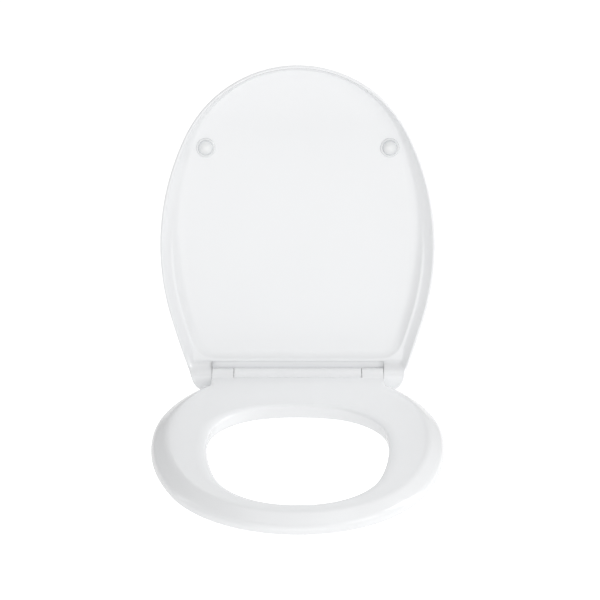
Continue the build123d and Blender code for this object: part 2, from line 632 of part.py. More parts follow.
def make_base_disc(way):
    """Eccentric steel disc: countersunk for the bolt at its centre, with the post's hole off centre."""
    bolt_x = way * BOLT_SPACING / 2
    mouth = BOLT_HEAD_RADIUS + BOLT_HEAD_LAND + BOLT_TOP_SINK + COUNTERSINK_CLEARANCE
    points = [
        (DISC_BORE, GASKET_THICKNESS),
        (DISC_RADIUS, GASKET_THICKNESS),
        (DISC_RADIUS, DISC_TOP_Z - DISC_EDGE),
        (DISC_RADIUS - DISC_EDGE, DISC_TOP_Z),
        (mouth, DISC_TOP_Z),
        (DISC_BORE, DISC_TOP_Z - (mouth - DISC_BORE)),
    ]
    rivet = raised(Circle(POST_GROOVE_RADIUS + PRESS_CLEARANCE), 0, DISC_TOP_Z)
    return turned(points, bolt_x) - Pos(way * POST_X, 0) * rivet


def make_gasket(way):
    """Soft ring between disc and bowl."""
    ring = Circle(GASKET_RADIUS) - Circle(GASKET_BORE)
    return Pos(way * BOLT_SPACING / 2, 0) * raised(ring, 0, GASKET_THICKNESS)


def make_bolt(way):
    """Countersunk bolt with a hexagon socket, a plain shank through the bowl and a threaded end."""
    top = DISC_TOP_Z - BOLT_TOP_SINK
    cone_top = top - BOLT_HEAD_LAND
    cone_bottom = cone_top - (BOLT_HEAD_RADIUS - BOLT_NECK_RADIUS)
    shank_end = -BOWL_THICKNESS + SHANK_MARGIN
    points = [
        (0, top),
        (BOLT_HEAD_RADIUS, top),
        (BOLT_HEAD_RADIUS, cone_top),
        (BOLT_NECK_RADIUS, cone_bottom),
        (BOLT_NECK_RADIUS, -SHANK_MARGIN),
        (BOLT_RADIUS, -SHANK_MARGIN),
        (BOLT_RADIUS, shank_end),
        (BOLT_THREAD_RADIUS, shank_end),
        (BOLT_THREAD_RADIUS, -BOLT_TIP + BOLT_TIP_CHAMFER),
        (BOLT_THREAD_RADIUS - BOLT_TIP_CHAMFER, -BOLT_TIP),
        (0, -BOLT_TIP),
    ]
    bolt_x = way * BOLT_SPACING / 2
    socket = RegularPolygon(BOLT_SOCKET / 2, 6, major_radius=False)
    return turned(points, bolt_x) - Pos(bolt_x, 0) * raised(socket, top - BOLT_SOCKET_DEPTH, top)


def make_washer(way):
    """Soft stepped washer under the bowl's ledge."""
    bore = BOLT_THREAD_RADIUS + NUT_BORE_CLEARANCE
    top = -BOWL_THICKNESS
    points = [
        (bore, top),
        (WASHER_RADIUS, top),
        (WASHER_RADIUS, top - WASHER_FLANGE),
        (WASHER_NOSE_RADIUS, top - WASHER_HEIGHT),
        (bore, top - WASHER_HEIGHT),
    ]
    return turned(points, way * BOLT_SPACING / 2)


def make_wing_nut(way):
    """Hand nut: round hub with two rounded wings."""
    top = -BOWL_THICKNESS - WASHER_HEIGHT
    hub = raised(Circle(NUT_RADIUS), top - NUT_HEIGHT, top)
    hub = chamfer(hub.edges().group_by(Axis.Z)[0], NUT_EDGE)
    reach = NUT_RADIUS + WING_LENGTH
    wing = Box(2 * reach, WING_THICKNESS, NUT_HEIGHT - 2 * NUT_EDGE)
    wing = fillet(wing.edges().filter_by(Axis.Y), WING_EDGE)
    nut = hub + Pos(0, 0, top - NUT_HEIGHT / 2) * wing
    nut -= raised(Circle(BOLT_THREAD_RADIUS + NUT_BORE_CLEARANCE), top - NUT_HEIGHT, top)
    return Pos(way * BOLT_SPACING / 2, 0) * nut


def make_parts():
    """Every piece by node name."""
    parts = {"lid": make_lid(), "seat_ring": make_ring(), "hinge_barrel": make_barrel()}
    parts["lid_damper"] = make_damper(SIDES["right"])
    parts["seat_damper"] = make_damper(SIDES["left"])
    parts["lid_damper_shaft"] = place_open(make_pin(SIDES["right"], LUG_INNER, LUG_INNER + PIN_IN_LUG))
    parts["seat_damper_shaft"] = make_pin(SIDES["left"], EAR_INNER, EAR_OUTER)
    for name, x, y, turn in seat_buffer_places():
        parts[f"{name}_seat_buffer"] = make_seat_buffer(x, y, turn)
    pieces = {
        "lid_buffer": make_lid_buffer,
        "release_button": make_button,
        "latch_spring": make_latch_spring,
        "clip_post": make_post,
        "base_disc": make_base_disc,
        "base_gasket": make_gasket,
        "bolt": make_bolt,
        "cone_washer": make_washer,
        "wing_nut": make_wing_nut,
    }
    for side, way in SIDES.items():
        for piece, make in pieces.items():
            parts[f"{side}_{piece}"] = make(way)
    return parts


os.makedirs("parts", exist_ok=True)
for node, solid in make_parts().items():
    export_step(solid, f"parts/{node}.step")
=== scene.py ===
import json
from math import acos, asin, atan2, cos, degrees, hypot, pi, radians, sin, sqrt

import bmesh
import bpy
import numpy as np
from bpy.props import FloatProperty, FloatVectorProperty, PointerProperty
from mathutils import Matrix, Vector


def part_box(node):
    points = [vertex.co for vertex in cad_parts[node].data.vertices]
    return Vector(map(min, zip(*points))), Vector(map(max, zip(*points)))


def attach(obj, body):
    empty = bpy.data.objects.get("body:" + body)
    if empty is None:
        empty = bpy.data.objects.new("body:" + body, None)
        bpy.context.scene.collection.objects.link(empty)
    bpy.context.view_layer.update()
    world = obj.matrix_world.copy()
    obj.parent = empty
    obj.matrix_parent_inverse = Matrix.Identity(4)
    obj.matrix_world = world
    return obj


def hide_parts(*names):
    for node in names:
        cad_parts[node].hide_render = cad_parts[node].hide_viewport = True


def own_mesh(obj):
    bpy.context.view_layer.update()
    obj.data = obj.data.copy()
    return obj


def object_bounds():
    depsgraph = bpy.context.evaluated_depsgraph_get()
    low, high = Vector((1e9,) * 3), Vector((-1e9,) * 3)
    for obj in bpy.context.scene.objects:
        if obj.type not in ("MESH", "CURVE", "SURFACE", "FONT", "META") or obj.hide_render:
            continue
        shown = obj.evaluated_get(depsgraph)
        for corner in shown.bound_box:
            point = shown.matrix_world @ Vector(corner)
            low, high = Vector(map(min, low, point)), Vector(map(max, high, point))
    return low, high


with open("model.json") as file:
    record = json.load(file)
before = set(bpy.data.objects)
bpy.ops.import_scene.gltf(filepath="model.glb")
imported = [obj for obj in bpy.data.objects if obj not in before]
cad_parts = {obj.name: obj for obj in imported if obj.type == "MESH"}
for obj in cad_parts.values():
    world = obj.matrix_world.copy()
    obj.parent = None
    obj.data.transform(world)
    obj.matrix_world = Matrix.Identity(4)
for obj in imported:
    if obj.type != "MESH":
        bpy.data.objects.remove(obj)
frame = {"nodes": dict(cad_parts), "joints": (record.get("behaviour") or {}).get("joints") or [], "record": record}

bl_info = {
    "name": "Toilet seat",
    "version": (1, 0, 0),
    "blender": (4, 5, 0),
    "location": "3D View > Sidebar > Toilet seat",
    "description": "Dresses the packed toilet seat: moulded lid and ring, soft buffers, hinge and bowl fixings",
    "category": "Object",
}

# Plan coordinates are those of the frame: x to the right, y to the rear, so the front of the seat is at -y.
# Lid and ring are worked out lying flat; heights h are counted from the hinge axis. All sizes are in metres.
MM = 0.001
CAD_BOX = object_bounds()
LID_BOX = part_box("lid")
RING_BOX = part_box("seat_ring")
BARREL_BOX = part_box("hinge_barrel")
LID_JOINT = next(joint for joint in frame["joints"] if joint["name"] == "lid_hinge")
HINGE_HEIGHT = LID_JOINT["pos_m"][2]
RING_INSET = LID_BOX[1].x - RING_BOX[1].x

# Plan of lid and ring
WIDEST_AT = 178 * MM
SIDE_RADIUS = 340 * MM
TAIL_AT = 85 * MM
TAIL_RADIUS = 1100 * MM
SHOULDER_AT = 165 * MM
HOLE_WIDEST_AT = 215 * MM
HOLE_SIDE_RADIUS = 330 * MM
HOLE_REAR_RADIUS = 200 * MM
HOLE_CORNER_RADIUS = 90 * MM
LID_CENTRE = np.array([0.0, -200 * MM])
HOLE_CENTRE = np.array([0.0, -240 * MM])

# Rear of the lid, where it wraps the hinge
REAR_EDGE = 20 * MM
REAR_CORNER = 22 * MM
HOOD_EDGE = 9 * MM
LUG_INNER = BARREL_BOX[1].x + 30.8 * MM
LUG_RADIUS = 9.8 * MM
LUG_FLANK = 28  # degrees from upright
LUG_CHEEK = 4 * MM
LUG_INSET = 0.5 * MM
PANEL_REAR = 22 * MM
PANEL_CORNER = 34 * MM
POCKET_FRONT = 20 * MM
POCKET_ROOF = 12.9 * MM

# Heights of the ring, and its ears on the hinge axis
EAR_INNER = BARREL_BOX[1].x + 0.7 * MM
EAR_OUTER = BARREL_BOX[1].x + 30.1 * MM
EAR_RADIUS = 11.5 * MM
EAR_BLEND = 10 * MM
RING_THICKNESS = 20 * MM
RING_BOTTOM = RING_BOX[0].z - HINGE_HEIGHT
RING_TOP = RING_BOTTOM + RING_THICKNESS
SHOULDER_X = 118 * MM
RING_REAR = 12 * MM


def length(name, description, metres):
    """A size for the sidebar."""
    return FloatProperty(name=name, description=description, default=metres, unit="LENGTH", precision=4)


def colour(name, description, slot, lift=1.0):
    """A colour for the sidebar: the record's for that slot, lifted where the photograph is paler."""
    row = next(item for item in frame["record"]["materials"] if item["slot"] == slot)
    shade = [lift * channel for channel in row["base_color"]]
    return FloatVectorProperty(
        name=name, description=description, default=shade, subtype="COLOR", size=3, min=0.0, max=1.0
    )


class SeatSizes(bpy.types.PropertyGroup):
    """Sizes of the moulded pieces."""

    lid_length: length("Lid length", "From the hinge axis to the lid's front", RING_INSET - RING_BOX[0].y)
    lid_half_width: length("Lid half width", "From the mid-line to the lid's widest point", LID_BOX[1].x)
    crown: length("Crown", "Height of the lid's outside over the hinge axis", 17.4 * MM)
    crown_sag: length("Crown sag", "How far the outside falls from its middle to its edge", 1.2 * MM)
    lip_height: length("Lip height", "Height of the lid's lip over the hinge axis", -1 * MM)
    lip_width: length("Lip width", "Width of the lid's rounded lip", 3.75 * MM)
    band_front: length("Front band", "From the lid's edge to the panel at the front", 5.2 * MM)
    band_side: length("Side band", "From the lid's edge to the panel at the sides", 15.2 * MM)
    band_rise: length("Band rise", "How far the sloped band rises from lip to crease", 7 * MM)
    panel: length("Panel", "Height of the lid's inner panel over the hinge axis", 12.5 * MM)
    bevel_width: length("Bevel width", "Width of the ring's outer bevel", 18 * MM)
    bevel_drop: length("Bevel drop", "Fall of the ring's outer bevel", 11 * MM)
    ring_front: length("Ring front", "Width of the ring at its front", 38 * MM)
    ring_side: length("Ring side", "Width of the ring at its widest", 72 * MM)
    hole_rear: length("Hole rear", "From the hinge axis to the hole", 106 * MM)
    hole_edge: length("Hole edge", "Radius of the hole's upper edge", 4 * MM)
    buffer_radius: length("Lid buffer radius", "Radius of each pad in the lid", 13 * MM)


class SeatColours(bpy.types.PropertyGroup):
    """Colours of the finishes, each under the name of its slot."""

    white_shell: colour("Shell", "Moulded lid and ring", "white_shell", lift=1.05)
    hinge_plastic: colour("Hinge", "Hinge bar and release buttons", "hinge_plastic", lift=1.1)
    soft_buffer: colour("Buffers", "Soft pads on lid and ring", "soft_buffer", lift=1.16)
    damper_body: colour("Dampers", "Damper cartridges", "damper_body")
    steel: colour("Steel", "Bolts, discs, posts and springs", "steel")
    gasket_rubber: colour("Gaskets", "Soft rings and washers", "gasket_rubber")
    nut_plastic: colour("Wing nuts", "Moulded hand nuts", "nut_plastic")


# Curves in plan


def arc(centre, radius, start, end, count, last=False):
    """Points and outward normals on a circle, evenly from one angle to another, in degrees."""
    angle = np.radians(np.linspace(start, end, count, endpoint=last))
    normal = np.c_[np.cos(angle), np.sin(angle)]
    return np.asarray(centre) + radius * normal, normal


def rear_line(start, end, count, last=True):
    """Points and normals evenly along the lid's rear edge, from one x to another."""
    x = np.linspace(start, end, count, endpoint=last)
    return np.c_[x, np.full(count, REAR_EDGE)], np.c_[0 * x, np.ones(count)]


def joined(pieces):
    """Pieces of an outline as one run of points and normals."""
    return tuple(np.vstack(rows) for rows in zip(*pieces))


def polar(centre, radius, angle):
    """Point at an angle, in degrees, on a circle."""
    return np.array([centre[0] + radius * cos(radians(angle)), centre[1] + radius * sin(radians(angle))])


def heading(start, end):
    """Direction from one point to another, in degrees."""
    return degrees(atan2(end[1] - start[1], end[0] - start[0]))


def end_radius(side_radius, half_width, reach):
    """Radius of an end arc, centred on the mid-line, that runs tangent into a side arc."""
    across = side_radius - half_width
    return (side_radius**2 - across**2 - reach**2) / (2 * (side_radius - reach))


def smooth_step(value):
    """0 below 0, 1 above 1, and an even S curve between."""
    value = np.clip(value, 0, 1)
    return value * value * (3 - 2 * value)


class Plan:
    """Arcs that lid and ring share: a front arc on the mid-line and a flat side arc, tangent to each other."""

    def __init__(self, sizes):
        reach = sizes.lid_length - WIDEST_AT
        self.side = np.array([sizes.lid_half_width - SIDE_RADIUS, -WIDEST_AT])
        self.front_radius = end_radius(SIDE_RADIUS, sizes.lid_half_width, reach)
        self.front = np.array([0.0, self.front_radius - sizes.lid_length])
        self.turn = heading(self.side, self.front)
        self.tail = degrees(asin((WIDEST_AT - TAIL_AT) / SIDE_RADIUS))
        self.tail_centre = polar(self.side, SIDE_RADIUS - TAIL_RADIUS, self.tail)
        self.shoulder = degrees(asin((WIDEST_AT - SHOULDER_AT) / SIDE_RADIUS))

    def nose_and_side(self, inset, rear_angle):
        """Front arc and side arc on the right, moved in by inset."""
        return [
            arc(self.front, self.front_radius - inset, -90, self.turn, NOSE_COUNT),
            arc(self.side, SIDE_RADIUS - inset, self.turn, rear_angle, SIDE_COUNT),
        ]

    def rear_corner(self, inset, rear, radius):
        """Centre of the corner from the tail arc, moved in by inset, to a rear line, and its first angle."""
        y = rear - radius
        x = self.tail_centre[0] + sqrt((TAIL_RADIUS - inset - radius) ** 2 - (y - self.tail_centre[1]) ** 2)
        return np.array([x, y]), heading(self.tail_centre, (x, y))

    def point(self, inset, from_front):
        """Point on the right of the outline moved in by inset, at a distance behind the lid's front."""
        y = from_front + self.front[1] - self.front_radius
        centre, radius = self.front, self.front_radius - inset
        if y > polar(centre, radius, self.turn)[1]:
            centre, radius = self.side, SIDE_RADIUS - inset
        return np.array([centre[0] + sqrt(radius**2 - (y - centre[1]) ** 2), y])


# Meshes

MERGE_DISTANCE = 0.002 * MM
SHARP_ANGLE = 38


def grid_faces(rows, columns, wrap_rows):
    """Quads between neighbouring points of a grid of closed rows; where asked, the last row joins the first."""
    row, column = np.arange(rows if wrap_rows else rows - 1)[:, None], np.arange(columns)
    below, beside = (row + 1) % rows, (column + 1) % columns
    corners = [row * columns + column, row * columns + beside, below * columns + beside, below * columns + column]
    return np.stack(corners, axis=-1).reshape(-1, 4)


def add_object(name, data):
    """New object in the scene."""
    thing = bpy.data.objects.new(name, data)
    bpy.context.scene.collection.objects.link(thing)
    return thing


class Skin:
    """Points and faces of one piece, gathered from one or more grids."""

    def __init__(self):
        self.points, self.faces, self.count = [], [], 0

    def add(self, grid, poles=(), wrap_rows=False):
        """Add a grid of closed rows by columns by 3, and the poles that close its first and last row, if any."""
        rows, columns = grid.shape[:2]
        self.points.append(grid.reshape(-1, 3))
        self.faces += (grid_faces(rows, columns, wrap_rows) + self.count).tolist()
        ring = np.arange(columns) + self.count
        self.count += rows * columns
        for pole, edge in zip(poles, (ring, ring + (rows - 1) * columns)):
            self.points.append(np.reshape(pole, (1, 3)))
            self.faces += np.c_[edge, np.roll(edge, -1), np.full_like(edge, self.count)].tolist()
            self.count += 1
        return self

    def make(self, name, material, body, slot, nodes=()):
        """Mesh object on a CAD body: faces turned outwards, smooth, with edges over a set angle sharp."""
        mesh = bpy.data.meshes.new(name)
        mesh.from_pydata(np.vstack(self.points).tolist(), [], self.faces)
        shape = bmesh.new()
        shape.from_mesh(mesh)
        bmesh.ops.remove_doubles(shape, verts=shape.verts, dist=MERGE_DISTANCE)
        bmesh.ops.dissolve_degenerate(shape, edges=shape.edges, dist=MERGE_DISTANCE)
        bmesh.ops.recalc_face_normals(shape, faces=shape.faces)
        shape.to_mesh(mesh)
        shape.free()
        mesh.shade_smooth()
        mesh.set_sharp_from_angle(angle=radians(SHARP_ANGLE))
        mesh.materials.append(material)
        piece = add_object(name, mesh)
        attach(piece, body)
        if nodes:
            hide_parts(*nodes)
        return piece


def whole(half):
    """Right half, stations by levels by 3, with its mirror image after it, turned to levels by stations."""
    left = half[::-1][1:-1] * np.array([-1.0, 1.0, 1.0])
    return np.vstack([half, left]).transpose(1, 0, 2)


def flat(points, height):
    """Plan points with a height over the hinge axis, in the frame."""
    height = np.broadcast_to(height, points.shape[:-1])
    return np.concatenate([points, height[..., None] + HINGE_HEIGHT], axis=-1)


def opened(points):
    """Points of the closed lid turned up about the hinge axis to where it rests open."""
    angle = radians(LID_JOINT["range_deg"][1])
    y, z = points[..., 1], points[..., 2] - HINGE_HEIGHT
    turned = [points[..., 0], y * cos(angle) + z * sin(angle), z * cos(angle) - y * sin(angle) + HINGE_HEIGHT]
    return np.stack(turned, axis=-1)


# Lid

# Points along the outline and across the section
NOSE_COUNT, SIDE_COUNT, TAIL_COUNT = 44, 40, 8
LUG_COUNTS = (20, 20, 8)
HOOD_COUNTS = (8, 18)
CROWN_RINGS, EDGE_COUNT, PANEL_RINGS = 15, 12, 16
BAND_COUNT, BROW_COUNT, HOLLOW_COUNT = 22, 9, 15
WALL_SHARES = np.array([0.3, 0.6, 0.85])

# The lip's round, as shares of its width: how far in and how high
LIP_TURN = np.radians(np.linspace(0, 120, 9))
LIP_RUN = (1 - np.cos(LIP_TURN)) / 1.5
LIP_ROUND = (1 - np.sin(LIP_TURN)) / 1.5

# Outer edge and wall
EDGE_ROUND = 9 * MM
CROWN_EDGE = HOOD_EDGE - 4 * MM
LUG_ROUND_FROM = 10 * MM
WALL_TOP = 7.2 * MM
HOOD_WALL = 13.8 * MM
INSET_FADE = 3 * MM
INSET_SHARES = np.array([0, 0.648, 1])

# Band, crease and cove; distances with FROM and OVER count from the lid's front
BAND_FROM, BAND_OVER = 20 * MM, 200 * MM
SOFT_FROM, SOFT_OVER = 10 * MM, 200 * MM
CREASE_FROM, CREASE_OVER = 170 * MM, 130 * MM
NOSE_SOFT, HOOD_SOFT = 0.1, 0.8
BAND_EASE = 1.5
RIM_EASE = 3
CREASE_RADIUS = 6 * MM
COVE_SLOPE = 38

# Lugs, the valley before them, and the panel's rise to nose and hood
LUG_BLEND = 7 * MM
LUG_RECEDE = 0.2
LUG_CORNER_POWER = 7
VALLEY_DEPTH = 1.6 * MM
VALLEY_RUN = 10 * MM
VALLEY_LENGTH = 12 * MM
VALLEY_EASE = 5 * MM
NOSE_REACH = 70 * MM
NOSE_LIFT = 6.5 * MM
HOOD_REACH = 60 * MM
HOOD_LIFT = 7 * MM


def lid_stations(sizes):
    """Right half of the lid's outline and of its panel's outline, station by station, with both normals.

    Outline: front arc, side arc, flat tail arc, corner arc, rear line. The panel keeps a set distance inside it and
    has a larger corner, shared out by the stations of tail end, corner and lug. The hood's stations keep their x.
    """
    plan = Plan(sizes)
    corner, turn = plan.rear_corner(0, REAR_EDGE, REAR_CORNER)
    panel_corner, panel_turn = plan.rear_corner(sizes.band_side, -PANEL_REAR, PANEL_CORNER)
    lug = [
        arc(plan.tail_centre, TAIL_RADIUS, panel_turn, turn, LUG_COUNTS[0]),
        arc(corner, REAR_CORNER, turn, 90, LUG_COUNTS[1]),
        rear_line(corner[0], LUG_INNER, LUG_COUNTS[2]),
    ]
    fore = plan.nose_and_side(0, plan.tail)
    fore.append(arc(plan.tail_centre, TAIL_RADIUS, plan.tail, panel_turn, TAIL_COUNT))
    hood = joined([
        rear_line(LUG_INNER, panel_corner[0], HOOD_COUNTS[0], last=False),
        rear_line(panel_corner[0], 0, HOOD_COUNTS[1]),
    ])

    points, normals = joined(fore)
    widen = smooth_step((points[:, 1] + sizes.lid_length - BAND_FROM) / BAND_OVER)
    band = sizes.band_front + (sizes.band_side - sizes.band_front) * widen
    lug_points, lug_normals = joined(lug)
    run = np.r_[0, np.cumsum(np.hypot(*np.diff(lug_points, axis=0).T))]
    last_turn = degrees(acos((LUG_INNER - panel_corner[0]) / PANEL_CORNER))
    angle = np.radians(panel_turn + (last_turn - panel_turn) * run / run[-1])
    panel_normals = np.c_[np.cos(angle), np.sin(angle)]
    lug_panel = panel_corner + PANEL_CORNER * panel_normals
    lean = np.clip(hood[0][:, 0] - panel_corner[0], 0, None) / PANEL_CORNER
    hood_normals = np.c_[lean, np.sqrt(1 - lean**2)]
    hood_panel = np.c_[hood[0][:, 0], panel_corner[1] + PANEL_CORNER * hood_normals[:, 1]]
    return {
        "edge": np.vstack([points, lug_points, hood[0]]),
        "normal": np.vstack([normals, lug_normals, hood[1]]),
        "panel": np.vstack([points - band[:, None] * normals, lug_panel, hood_panel]),
        "panel_normal": np.vstack([normals, panel_normals, hood_normals]),
        "lug": slice(len(points), len(points) + len(lug_points)),
        "hood": slice(len(points) + len(lug_points), None),
    }


def lug_height(y):
    """Underside of a lug: a round about the hinge axis with a steep flank tangent to it in front, and behind the axis
    a full cheek that recedes a little and then rounds off to the rear edge."""
    flank = radians(LUG_FLANK)
    reach = LUG_RADIUS * cos(flank)
    over = np.clip(-y - reach, 0, None) / np.tan(flank)
    front = over - np.sqrt(LUG_RADIUS**2 - np.clip(-y, 0, reach) ** 2)
    share = np.clip((y - LUG_CHEEK) / (REAR_EDGE - LUG_CHEEK), 0, 1)
    cheek = LUG_RECEDE * share**2 + (1 - LUG_RECEDE) * share**LUG_CORNER_POWER
    return np.where(y < 0, front, LUG_RADIUS * (cheek - 1))


def lid_underside(sizes, run, span, points, is_lug):
    """Height of the rim's underside: lip, then a rise that eases off to the crease.

    On a lug's stations it sinks into a shallow valley and then blends into the lug, which is the lower of the two.
    """
    rise = np.clip((run - sizes.lip_width) / (np.minimum(span, sizes.band_side) - sizes.lip_width), 0, 1)
    start = sizes.lip_width * LIP_ROUND[-1]
    height = sizes.lip_height + start + (sizes.band_rise - start) * (1 - (1 - rise) ** BAND_EASE)
    behind = points[..., 1] + PANEL_REAR
    valley = VALLEY_DEPTH * smooth_step((VALLEY_LENGTH - behind) / VALLEY_LENGTH)
    valley = valley * smooth_step((run - VALLEY_RUN) / VALLEY_RUN) * smooth_step(behind / VALLEY_EASE)
    lug = lug_height(points[..., 1])
    near = np.clip(LUG_BLEND - np.abs(height + valley - lug), 0, None)
    return np.where(is_lug, np.minimum(height + valley, lug) - near**2 / (4 * LUG_BLEND), height)


def panel_height(sizes, points):
    """Height of the panel: level in the middle, and up by the square of the way to the front and to the hood."""
    front = np.clip(1 - (points[..., 1] + sizes.lid_length) / NOSE_REACH, 0, 1)
    rear = np.clip(1 + (points[..., 1] + PANEL_REAR) / HOOD_REACH, 0, 1)
    return sizes.panel - NOSE_LIFT * front**2 - HOOD_LIFT * rear**2


def plain_rim(sizes, run, reach, panel):
    """Height of the rim's underside where there is no crease: a rise from the lip that eases off to the panel."""
    start = sizes.lip_height + sizes.lip_width * LIP_ROUND[-1]
    rise = np.clip((run - sizes.lip_width) / (reach - sizes.lip_width), 0, 1)
    return start + (panel - start) * (1 - (1 - rise) ** RIM_EASE)


def pocket_section():
    """Section of the pocket under the hood: back edge, roof round the bar, strip, step and ridge, as (y, h).

    It has as many points as wall, lip and band have elsewhere. Its runs are in millimetres.
    """
    edge, roof, front, rear = HOOD_EDGE / MM, POCKET_ROOF / MM, -POCKET_FRONT / MM, -PANEL_REAR / MM
    back, strip, ridge = 13.7, 8.4, 6.0
    runs = [
        ((edge, back), (edge, roof + 0.5), 3),
        ((edge - 0.15, roof + 0.15), (edge - 0.5, roof), 2),
        ((5.0, roof), (1.5, roof), 3),
        ((-11.0, strip), (front + 0.6, strip - 0.4), 6),
        ((front + 0.15, strip - 0.7), (front, ridge + 0.6), 4),
        ((front - 0.3, ridge + 0.12), (rear, ridge), 7),
    ]
    parts = [np.linspace(*run) for run in runs]
    parts.insert(3, arc((0, 0), roof, 90, 180 - degrees(asin(strip / roof)), 9, last=True)[0])
    return MM * np.vstack(parts)


def cove_section(sizes):
    """Section from the crease to the panel, as (inward, share of the depth): a round that turns to the cove's slope,
    and a wide hollow that levels out on the panel."""
    depth, steep = sizes.panel - sizes.lip_height - sizes.band_rise, radians(COVE_SLOPE)
    slope = np.linspace(0, steep, BROW_COUNT)[1:]
    brow = CREASE_RADIUS * np.c_[np.sin(slope), 1 - np.cos(slope)]
    slope = np.linspace(steep, 0, HOLLOW_COUNT)[1:]
    radius = (depth - brow[-1, 1]) / (1 - cos(steep))
    hollow = brow[-1] + radius * np.c_[sin(steep) - np.sin(slope), np.cos(slope) - cos(steep)]
    return np.vstack([brow, hollow]) / (1, depth)


def crown_levels(sizes, at):
    """Levels of the outside: rings that grow from the crown's middle, and an elliptical edge down to the wall."""
    edge, normal, lug, hood = (at[key] for key in ("edge", "normal", "lug", "hood"))
    width = np.full((len(edge), 1), EDGE_ROUND)
    behind = smooth_step((edge[lug, 1:] + LUG_ROUND_FROM) / (REAR_EDGE + LUG_ROUND_FROM))
    width[lug] += behind * (REAR_EDGE - CROWN_EDGE - EDGE_ROUND)
    width[hood] = REAR_EDGE - CROWN_EDGE
    share = np.linspace(0, 1, CROWN_RINGS)[1:, None, None]
    dome = LID_CENTRE + share * (edge - width * normal - LID_CENTRE)
    dome = flat(dome, sizes.crown - sizes.crown_sag * share[..., 0] ** 2).transpose(1, 0, 2)

    angle = np.linspace(0, pi / 2, EDGE_COUNT)[1:]
    rim = edge[:, None] - (width * (1 - np.sin(angle)))[..., None] * normal[:, None]
    rim[hood, :, 1] = HOOD_EDGE - (HOOD_EDGE - CROWN_EDGE) * (1 - np.sin(angle))
    foot = np.full((len(edge), 1), WALL_TOP)
    foot[hood] = HOOD_WALL
    return [dome, flat(rim, foot + (sizes.crown - sizes.crown_sag - foot) * np.cos(angle))]


def underside_levels(sizes, at):
    """Levels of the underside: wall, lip, sloped band, cove, and rings that shrink to the panel's middle.

    Towards the front, a plain rise takes the place of band and cove, and at the hood, the pocket's section that of
    wall, lip and band.
    """
    edge, panel, lug, hood = (at[key] for key in ("edge", "panel", "lug", "hood"))
    lip, station = sizes.lip_width, np.arange(len(edge))[:, None]
    fore, is_lug = station < lug.start, (station >= lug.start) & (station < lug.stop)
    span = np.hypot(*(panel - edge).T)[:, None]
    inward = (panel - edge) / span

    lip_run = np.broadcast_to(lip * LIP_RUN, (len(edge), len(LIP_RUN)))
    band_run = lip + (span - lip) * np.linspace(0, 1, BAND_COUNT + 1)[None, 1:]
    run = np.hstack([lip_run, band_run])
    lip_end = (edge + lip * inward)[:, None]
    bottom = lid_underside(sizes, np.full_like(span, lip), span, lip_end, is_lug)
    bottom = bottom - lip * LIP_ROUND[-1]
    stand = LUG_INSET * np.clip((sizes.lip_height - bottom) / INSET_FADE, 0, 1)
    run = run + stand * (1 - run / span)
    under = edge[:, None] + run[..., None] * inward[:, None]

    from_front = edge[:, 1:] + sizes.lid_length
    soft = NOSE_SOFT + (1 - NOSE_SOFT) * smooth_step((from_front - SOFT_FROM) / SOFT_OVER)
    soft = np.where(fore, soft, 1 - (1 - HOOD_SOFT) * smooth_step((station - lug.start) / sum(LUG_COUNTS)))
    crease = np.where(fore, smooth_step((from_front - CREASE_FROM) / CREASE_OVER), 1)
    cove = cove_section(sizes)
    cove_run = soft * cove[:, 0]
    ring = panel[:, None] - cove_run[..., None] * at["panel_normal"][:, None]
    foot = ring[:, -1]
    foot_height = panel_height(sizes, foot)[:, None]
    ridge = sizes.lip_height + sizes.band_rise
    creased = [lid_underside(sizes, run, span, under, is_lug), ridge + (foot_height - ridge) * cove[:, 1]]
    plain = plain_rim(sizes, np.hstack([run, span + cove_run]), span + cove_run[:, -1:], foot_height)
    height = crease * np.hstack(creased) + (1 - crease) * plain
    height[:, : len(LIP_RUN)] = bottom + lip * LIP_ROUND
    band_height, cove_height = np.split(height, [run.shape[1]], axis=1)

    wall_run = stand * INSET_SHARES
    wall = edge[:, None] + wall_run[..., None] * inward[:, None]
    wall_height = WALL_TOP + (bottom + lip * LIP_ROUND[0] - WALL_TOP) * WALL_SHARES
    rim = np.hstack([wall, under])
    rim_height = np.hstack([wall_height, band_height])
    section = pocket_section()
    stretch = np.clip((section[:, 0] + POCKET_FRONT) / (POCKET_FRONT - PANEL_REAR), 0, 1)
    rim[hood, :, 0] = edge[hood, :1]
    rim[hood, :, 1] = section[:, 0] + stretch * (panel[hood, 1:] + PANEL_REAR)
    rim_height[hood] = section[:, 1]

    share = np.linspace(1, 0, PANEL_RINGS)[1:-1, None, None]
    sheet = LID_CENTRE + share * (foot - LID_CENTRE)
    sheet = flat(sheet, panel_height(sizes, sheet)).transpose(1, 0, 2)
    return [flat(rim, rim_height), flat(ring, cove_height), sheet]


def make_lid(sizes, material):
    """The lid as one closed skin, resting open: stations along the outline, levels across the section.

    Two stations share the plane where hood and lug meet, which gives the pocket's end.
    """
    at = lid_stations(sizes)
    grid = opened(whole(np.hstack(crown_levels(sizes, at) + underside_levels(sizes, at))))
    poles = [opened(flat(LID_CENTRE, height)) for height in (sizes.crown, sizes.panel)]
    Skin().add(grid, poles).make("lid_shell", material, "lid", "white_shell", ["lid"])


# Seat ring

